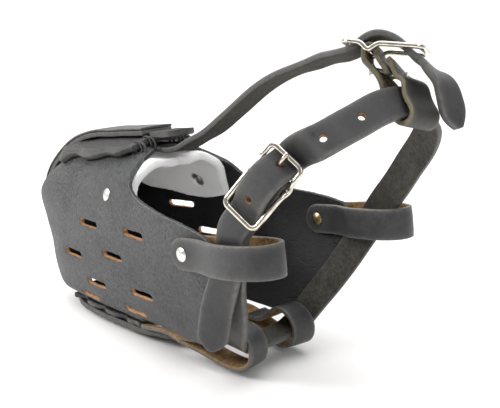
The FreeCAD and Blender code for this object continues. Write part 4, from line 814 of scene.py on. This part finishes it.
# forehead strap
u_f = strap_u(FORE, LOC(CB, -20.5, -6.1))
fore = band("forehead_strap_leather", FORE, M_STRAP, grain=1, hi=u_f, seed=5, step=1.2)
fore_tail = band("forehead_strap_tail_leather", FORE, M_STRAP, grain=1, lo=u_f, end=("point", 13.0), seed=5, step=1.0)
for p, ax in FORE_HOLES:
    hole(fore, *on_route(FORE, p))
TC = dict(a=LOC(CB, 6.75, -3.5), b=LOC(CB, 18.7, 2.76))
pc = TC["a"]
lc, wc_, nc = [np.array(CB[i]) for i in (1, 2, 3)]
for dg in (-2.0, 3.0, 8.0):
    g = math.radians(dg)
    dv = TC["b"] - pc
    la, na_ = dv @ lc, dv @ nc
    dr = lc * (la * math.cos(g) - na_ * math.sin(g)) + nc * (la * math.sin(g) + na_ * math.cos(g))
    hole(fore, pc + dr * 0.55, dr, 2.05, 9)
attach(fore, BODY)
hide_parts("forehead_strap")
gp = np.array(FORE_FLEX[0])
stf = np.array(FORE, float)
spf = Spline(chord(stf[:, :3]), stf[:, :3])
i1 = strap_u(FORE, gp)
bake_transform(fore_tail)
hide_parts("forehead_strap_tail")

# crown tab
tab = band("crown_tab_leather", CT, M_TAB, grain=-1, seed=8, step=0.9, r=0.7)
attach(tab, BODY)
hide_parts("crown_tab")

# cheek keepers
for side, st, body in (("left", KEEP, "left_keeper"), ("right", mirror_st(KEEP), "right_keeper")):
    k = band(side + "_cheek_keeper_leather", st, M_LOOP, grain=(-1 if side == "left" else 1), start=("round", 9.0), end=("round", 9.0), seed=11, step=1.1, r=0.75, groove=0.16)
    y, z = KP[1], KP[2]
    hole(k, (0, y, z), (1, 0, 0), 1.95, 200)
    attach(k, body)
    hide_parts(side + "_cheek_keeper")

# chin loops
for side, st, g in (("left", LOOP_L, -1), ("right", LOOP_R, -1)):
    k = band(side + "_chin_loop_leather", st, M_LOOP, grain=g, seed=14, step=1.2, r=0.8, groove=0.12)
    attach(k, BODY)
    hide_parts(side + "_chin_loop")

# nose strap: two layers, so its edge shows a parting line
def scaled(st, dt, off, dw):
    """The same route moved along its normal, with another thickness and width."""
    s = np.array(st, float)
    P = s[:, :3]
    T = np.gradient(P, axis=0)
    T /= np.linalg.norm(T, axis=1)[:, None]
    Nn = np.cross(s[:, 3:6], T)
    s[:, :3] = P + Nn * off
    s[:, 7] = dt
    s[:, 6] += dw
    return s.tolist()


ns_top = band("nose_strap_top_leather", scaled(NOSE, 1.85, -0.88, 0.0), M_STRAP, grain=-1, end=("round", 10.0), seed=17, step=1.4, r=0.6, groove=0.12)
ns_low = band("nose_strap_lower_leather", scaled(NOSE, 3.6, 1.95, -0.7), M_STRAP, grain=-1, end=("round", 10.0), seed=18, step=1.4, r=0.5)
for k in (ns_top, ns_low):
    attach(k, BODY)
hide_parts("nose_strap")
bt = band("bridge_tab_leather", TAB, M_STRAP, grain=-1, end=("round", 7.0), seed=19, step=0.9, r=0.9)
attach(bt, BODY)
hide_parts("bridge_tab")


# ---------------------------------------------------------------- shell pieces, from the CAD solids
def resurface(node, name, mat, voxel, relax=6):
    """Takes a CAD solid's mesh, remeshes it finely (voxel size in mm), rounds its edges and returns the new object."""
    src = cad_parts[node].data
    me = src.copy()
    bm = bmesh.new()
    bm.from_mesh(me)
    bmesh.ops.remove_doubles(bm, verts=bm.verts, dist=2e-6)
    bm.to_mesh(me)
    bm.free()
    me.name = name
    while me.materials:
        me.materials.pop()
    o = bpy.data.objects.new(name, me)
    bpy.context.scene.collection.objects.link(o)
    m = o.modifiers.new("r", "REMESH")
    m.mode = "VOXEL"
    m.voxel_size = voxel * MM
    m = o.modifiers.new("s", "CORRECTIVE_SMOOTH") if False else o.modifiers.new("s", "SMOOTH")
    m.factor = 0.5
    m.iterations = relax
    apply_mods(o)
    o.data.materials.clear()
    o.data.materials.append(mat)
    o.data.polygons.foreach_set("use_smooth", [True] * len(o.data.polygons))
    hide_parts(node)
    return o


def coords(o):
    me = o.data
    P = np.empty(len(me.vertices) * 3)
    me.vertices.foreach_get("co", P)
    Nv = np.empty(len(me.vertices) * 3)
    me.vertices.foreach_get("normal", Nv)
    return P.reshape(-1, 3) * 1000, Nv.reshape(-1, 3)


def rim_of(o, P, Nv, limit=5.6):
    """1 on the narrow cut edge of a sheet piece, 0 on its two faces."""
    from mathutils.bvhtree import BVHTree
    me = o.data
    t = BVHTree.FromPolygons([v.co for v in me.vertices], [tuple(p.vertices) for p in me.polygons])
    out = np.zeros(len(P))
    for i in range(len(P)):
        n = Vector(Nv[i])
        h = t.ray_cast(Vector(P[i] / 1000) - n * 0.0002, -n, 0.02)
        if h[0] is None or h[3] * 1000 > limit:
            out[i] = 1.0
    return out


def set_attr(o, name, val):
    me = o.data
    a = me.attributes.get(name) or me.attributes.new(name, "FLOAT", "POINT")
    a.data.foreach_set("value", np.asarray(val, np.float32))


def move(o, P):
    o.data.vertices.foreach_set("co", (P / 1000).ravel())
    o.data.update()


def slot_frames():
    out = []
    for p, n, t, h in SLOTS:
        p, n, t = np.array(p), unit(n), unit(t)
        k = np.cross(n, t)
        if k[2] < 0:
            k = -k
        a = math.radians(3.5)
        t2, k2 = t * math.cos(a) + k * math.sin(a), k * math.cos(a) - t * math.sin(a)
        out.append((p, n, t2, k2, h))
    return out


for side, sg in (("left", 1), ("right", -1)):
    o = resurface(side + "_side_panel", side + "_panel_leather", M_SHELL, 0.8, 5)
    P, Nv = coords(o)
    Q, Nq = P * [sg, 1, 1], Nv * [sg, 1, 1]
    cutv = np.zeros(len(P))
    near = np.zeros(len(P))
    for p, n, t2, k2, h in slot_frames():
        d = Q - p
        a, b2, c = d @ t2, d @ k2, d @ n
        inside = (np.abs(a) < 13.2) & (np.abs(b2) < h / 2 + 1.0) & (np.abs(c) < 7)
        wall = np.clip((0.75 - np.abs(Nq @ n)) / 0.3, 0, 1) * inside
        cutv = np.maximum(cutv, wall)
        lip = np.exp(-((np.maximum(np.abs(a) - 10.2, 0) ** 2 + np.maximum(np.abs(b2) - h / 2, 0) ** 2) / 3.0)) * (np.abs(c) < 7)
        near = np.maximum(near, lip)
    # inward-facing side is the flesh side, dyed smooth black; its near-black colour is partly painted shade of the
    # muzzle's inside
    flat = np.clip(1 - np.abs(Nq[:, 0]) - 0.35, 0, 1)
    set_attr(o, "cut", cutv)
    set_attr(o, "inner_black_and_shade", np.clip((-Nq[:, 0] - 0.15) / 0.2, 0, 1) * (1 - cutv))
    set_attr(o, "flesh", np.zeros(len(P)))
    set_attr(o, "edge", rim_of(o, P, Nv) * (1 - cutv))
    P = P + Nv * (waves(Q, 31, 46) * 0.35 + waves(Q, 32, 17) * 0.10)[:, None] * (1 - cutv)[:, None]
    move(o, P)
    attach(o, BODY)

o = resurface("bridge_plate", "bridge_plate_leather", M_CHIN, 0.7, 5)
P, Nv = coords(o)
set_attr(o, "cut", np.zeros(len(P))); set_attr(o, "flesh", np.zeros(len(P)))
set_attr(o, "edge", np.clip(1 - np.abs(Nv[:, 2]) * 1.25, 0, 1))
move(o, P + Nv * (waves(P, 41, 24) * 0.35)[:, None])
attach(o, BODY)

o = resurface("chin_plate", "chin_plate_leather", M_CHIN, 0.8, 5)
P, Nv = coords(o)
set_attr(o, "cut", np.zeros(len(P))); set_attr(o, "flesh", np.zeros(len(P)))
set_attr(o, "edge", np.clip(1 - np.abs(Nv[:, 2]) * 1.25, 0, 1))
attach(o, BODY)
for side in ("left", "right"):
    o = resurface(side + "_chin_welt", side + "_chin_welt_leather", M_CHIN, 0.6, 4)
    P, Nv = coords(o)
    set_attr(o, "cut", np.zeros(len(P))); set_attr(o, "flesh", np.zeros(len(P)))
    set_attr(o, "edge", np.clip(1 - np.abs(Nv[:, 2]) * 1.25, 0, 1))
    move(o, P + Nv * (waves(P, 51, 14) * 0.2)[:, None])
    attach(o, BODY)

felt = resurface("nose_felt_lining", "nose_felt", M_FELT, 0.9, 8)
P, Nv = coords(felt)
P = P + Nv * (waves(P, 61, 22) * 0.3 + waves(P, 62, 6) * 0.12)[:, None]
# painted shade in the rivet dimples of the felt, one near-black spot on each side
rp = np.array(NP[0])
dl = np.minimum(np.linalg.norm((P - rp)[:, 1:], axis=1) + 40 * (P[:, 0] < 0), np.linalg.norm((P - rp * [-1, 1, 1])[:, 1:], axis=1) + 40 * (P[:, 0] > 0))
dimple_shade_w = np.exp(-(dl / 3.0) ** 4)
set_attr(felt, "dimple_shade", np.clip(1.4 * dimple_shade_w - 0.2, 0, 1))
move(felt, P)
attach(felt, BODY)


# ---------------------------------------------------------------- buckles
def tube(name, path, radii, mat, closed=False, seg=20, flat=(1.0, 1.0), up=None):
    """Swept rod. radii: one per point, flat: scale across and along 'up'."""
    P = np.array(path, float)
    n = len(P)
    if closed:
        T = np.roll(P, -1, 0) - np.roll(P, 1, 0)
    else:
        T = np.gradient(P, axis=0)
    T /= np.linalg.norm(T, axis=1)[:, None]
    V, F = [], []
    prev = None
    for i in range(n):
        if up is not None:
            b = np.asarray(up) - T[i] * (np.asarray(up) @ T[i])
            b = unit(b)
        elif prev is None:
            b = unit(np.cross(T[i], [0.3, 0.5, 0.81]))
        else:
            b = unit(prev - T[i] * (prev @ T[i]))
        prev = b
        a = np.cross(T[i], b)
        for k in range(seg):
            g = 2 * math.pi * k / seg
            ca, sa = math.cos(g), math.sin(g)
            e = 0.86
            ca, sa = math.copysign(abs(ca) ** e, ca), math.copysign(abs(sa) ** e, sa)
            V.append(P[i] + (a * ca * flat[0] + b * sa * flat[1]) * radii[i])
    m = n if closed else n - 1
    for i in range(m):
        j = (i + 1) % n
        for k in range(seg):
            q = (k + 1) % seg
            F.append((i * seg + k, i * seg + q, j * seg + q, j * seg + k))
    if not closed:
        F.append(tuple(range(seg))[::-1])
        F.append(tuple(range((n - 1) * seg, n * seg)))
    return mesh_obj(name, V, F, [mat])


def join(name, objs):
    bm = bmesh.new()
    mats = []
    for o in objs:
        t = bmesh.new()
        t.from_mesh(o.data)
        me = bpy.data.meshes.new("t")
        t.to_mesh(me)
        bm.from_mesh(me)
        t.free()
    me = bpy.data.meshes.new(name)
    bm.to_mesh(me)
    bm.free()
    me.materials.append(objs[0].data.materials[0])
    me.polygons.foreach_set("use_smooth", [True] * len(me.polygons))
    for o in objs:
        bpy.data.objects.remove(o, do_unlink=True)
    o = bpy.data.objects.new(name, me)
    bpy.context.scene.collection.objects.link(o)
    return o


def buckle(prefix, B, frame_body, tongue_body):
    C, l, w, n = [np.array(x, float) for x in B]
    y = np.cross(n, l)

    def loc(a, b, c):
        return C + l * a + y * b + n * c

    ha, hw, rc = 20.9, 11.65, 3.6
    loopp = []
    # side rail (+y) with its dip, end bar, other rail, end bar
    def dip(a):
        d = abs(a - 6.75)
        return -3.5 * math.exp(-(d / 3.4) ** 2)

    def rail(sgn):
        xs = np.linspace(-(ha - rc), ha - rc, 70)
        return [(a, sgn * hw, dip(a)) for a in xs]

    def corner(ca, cb, g0, g1):
        return [(ca + rc * math.cos(g), cb + rc * math.sin(g), 0) for g in np.linspace(g0, g1, 9)[1:-1]]

    pts = rail(1)
    pts += [(ha - rc, hw, 0)] and corner(ha - rc, hw - rc, math.pi / 2, 0)
    pts += [(ha, b, 0) for b in np.linspace(hw - rc, -(hw - rc), 14)]
    pts += corner(ha - rc, -(hw - rc), 0, -math.pi / 2)
    pts += rail(-1)[::-1]
    pts += corner(-(ha - rc), -(hw - rc), -math.pi / 2, -math.pi)
    pts += [(-ha, b, 0) for b in np.linspace(-(hw - rc), hw - rc, 14)]
    pts += corner(-(ha - rc), hw - rc, math.pi, math.pi / 2)
    ring = tube(prefix + "_f", [loc(*p) for p in pts], [1.5] * len(pts), M_NICKEL, closed=True, flat=(1.06, 0.95), up=n)
    bar = tube(prefix + "_b", [loc(6.75, b, -3.5) for b in np.linspace(-hw, hw, 20)], [1.4] * 20, M_NICKEL)
    f = join(prefix + "_buckle_frame_metal", [ring, bar])
    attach(f, frame_body)
    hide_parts(prefix + "_buckle_frame")
    # tongue: eye round the bar, finger rising through the strap and levelling on the end bar
    eye = [loc(6.75 + 2.2 * math.cos(g), 0, -3.5 + 2.2 * math.sin(g)) for g in np.linspace(0, 2 * math.pi, 29)[:-1]]
    ringo = tube("e", eye, [0.85] * 28, M_TONGUE, closed=True, flat=(1.0, 2.0), up=y)
    ctl = np.array([(8.2, -2.7), (12.0, -0.75), (16.0, 1.35), (18.9, 2.62), (20.9, 2.78), (22.9, 2.6)])
    sp = Spline(chord(np.c_[ctl, np.zeros(len(ctl))]), ctl)
    cc = sp.at(np.linspace(0, 1, 44))
    rad = [1.4 - 0.28 * i / 43 if i < 40 else (1.12 * math.sqrt(max(0.02, 1 - ((i - 39.5) / 4.2) ** 2))) for i in range(44)]
    fin = tube("t", [loc(a, 0, c) for a, c in cc], rad, M_TONGUE, flat=(1.05, 0.92), up=y)
    tg = join(prefix + "_buckle_tongue_metal", [ringo, fin])
    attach(tg, tongue_body)
    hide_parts(prefix + "_buckle_tongue")


buckle("neck", NB, "neck_buckle", "neck_tongue")
buckle("crown", CB, "crown_buckle", "crown_tongue")

# ---------------------------------------------------------------- CAD metal kept as it is, with real finishes
for nm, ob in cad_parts.items():
    if "rivet" in nm:
        ob.data.materials.clear()
        ob.data.materials.append(M_BRASS if nm == "right_keeper_rivet" else M_RIVET)
    if nm == "bridge_lacing":
        ob.data.materials.clear()
        ob.data.materials.append(M_THREAD)

# ---------------------------------------------------------------- floor, light, camera
me = bpy.data.meshes.new("floor")
bm = bmesh.new()
for x, y in ((-1.5, -1.5), (1.5, -1.5), (1.5, 1.5), (-1.5, 1.5)):
    bm.verts.new((x, y, -0.0002))
bm.faces.new(bm.verts)
bm.to_mesh(me)
bm.free()
floor = bpy.data.objects.new("floor", me)
bpy.context.scene.collection.objects.link(floor)
fm, fnt, fb = nodes_of("floor_paper")
fco = N(fnt, "ShaderNodeTexCoord").outputs["Object"]
L(fnt, mixc(fnt, ramp(fnt, noise(fnt, fco, 6, 3, 0.5), [(0.3, 0.0), (0.7, 1.0)]), (0.90, 0.895, 0.885), (0.92, 0.915, 0.905)), fb.inputs["Base Color"])
fb.inputs["Roughness"].default_value = 0.9
fb.inputs["Specular IOR Level"].default_value = 0.1
me.materials.append(fm)

scene = bpy.context.scene
world = bpy.data.worlds.new("studio") if not scene.world else scene.world
scene.world = world
world.use_nodes = True
wt = world.node_tree
bg = wt.nodes.get("Background") or wt.nodes.new("ShaderNodeBackground")
bg.inputs[1].default_value = 1.0
wco = wt.nodes.new("ShaderNodeTexCoord")
wdot = wt.nodes.new("ShaderNodeVectorMath")
wdot.operation = "DOT_PRODUCT"
wdot.inputs[1].default_value = (-0.69, -0.72, 0.0)
wt.links.new(wco.outputs["Generated"], wdot.inputs[0])
wr = wt.nodes.new("ShaderNodeValToRGB")
wr.color_ramp.elements[0].position = 0.0
wr.color_ramp.elements[0].color = (0.34, 0.34, 0.35, 1)
wr.color_ramp.elements[1].position = 0.85
wr.color_ramp.elements[1].color = (1.06, 1.06, 1.05, 1)
wt.links.new(wdot.outputs["Value"], wr.inputs[0])
wt.links.new(wr.outputs[0], bg.inputs[0])
TARGET = Vector((0.0, 0.038416, 0.1008))
CAM = Vector((0.40441, 0.45720, 0.24595))


def area(name, loc, size, energy, color=(1, 1, 1), at=(0, 0.0, 0.1)):
    d = bpy.data.lights.new(name, "AREA")
    d.shape = "RECTANGLE"
    d.size, d.size_y = size
    d.energy = energy
    d.color = color
    o = bpy.data.objects.new(name, d)
    bpy.context.scene.collection.objects.link(o)
    o.location = loc
    o.rotation_euler = (Vector(at) - Vector(loc)).to_track_quat("-Z", "Y").to_euler()
    return o


area("top_soft", (-0.25, -0.3, 2.3), (3.6, 3.6), 84.0, (1, 1, 0.995))
area("nose_side", (1.05, -0.75, 0.85), (0.55, 0.55), 17.0, (1, 0.99, 0.97))
area("rear_strip", (0.35, 1.2, 0.8), (0.25, 0.8), 3.0, (0.98, 0.99, 1))

cd = bpy.data.cameras.new("photo_camera")
cd.lens = 69.84
cd.sensor_width = 36
cd.clip_start = 0.01
cam = bpy.data.objects.new("photo_camera", cd)
scene.collection.objects.link(cam)
cam.location = CAM
cam.rotation_euler = (TARGET - CAM).to_track_quat("-Z", "Y").to_euler()
scene.camera = cam
scene.view_settings.view_transform = "Standard"
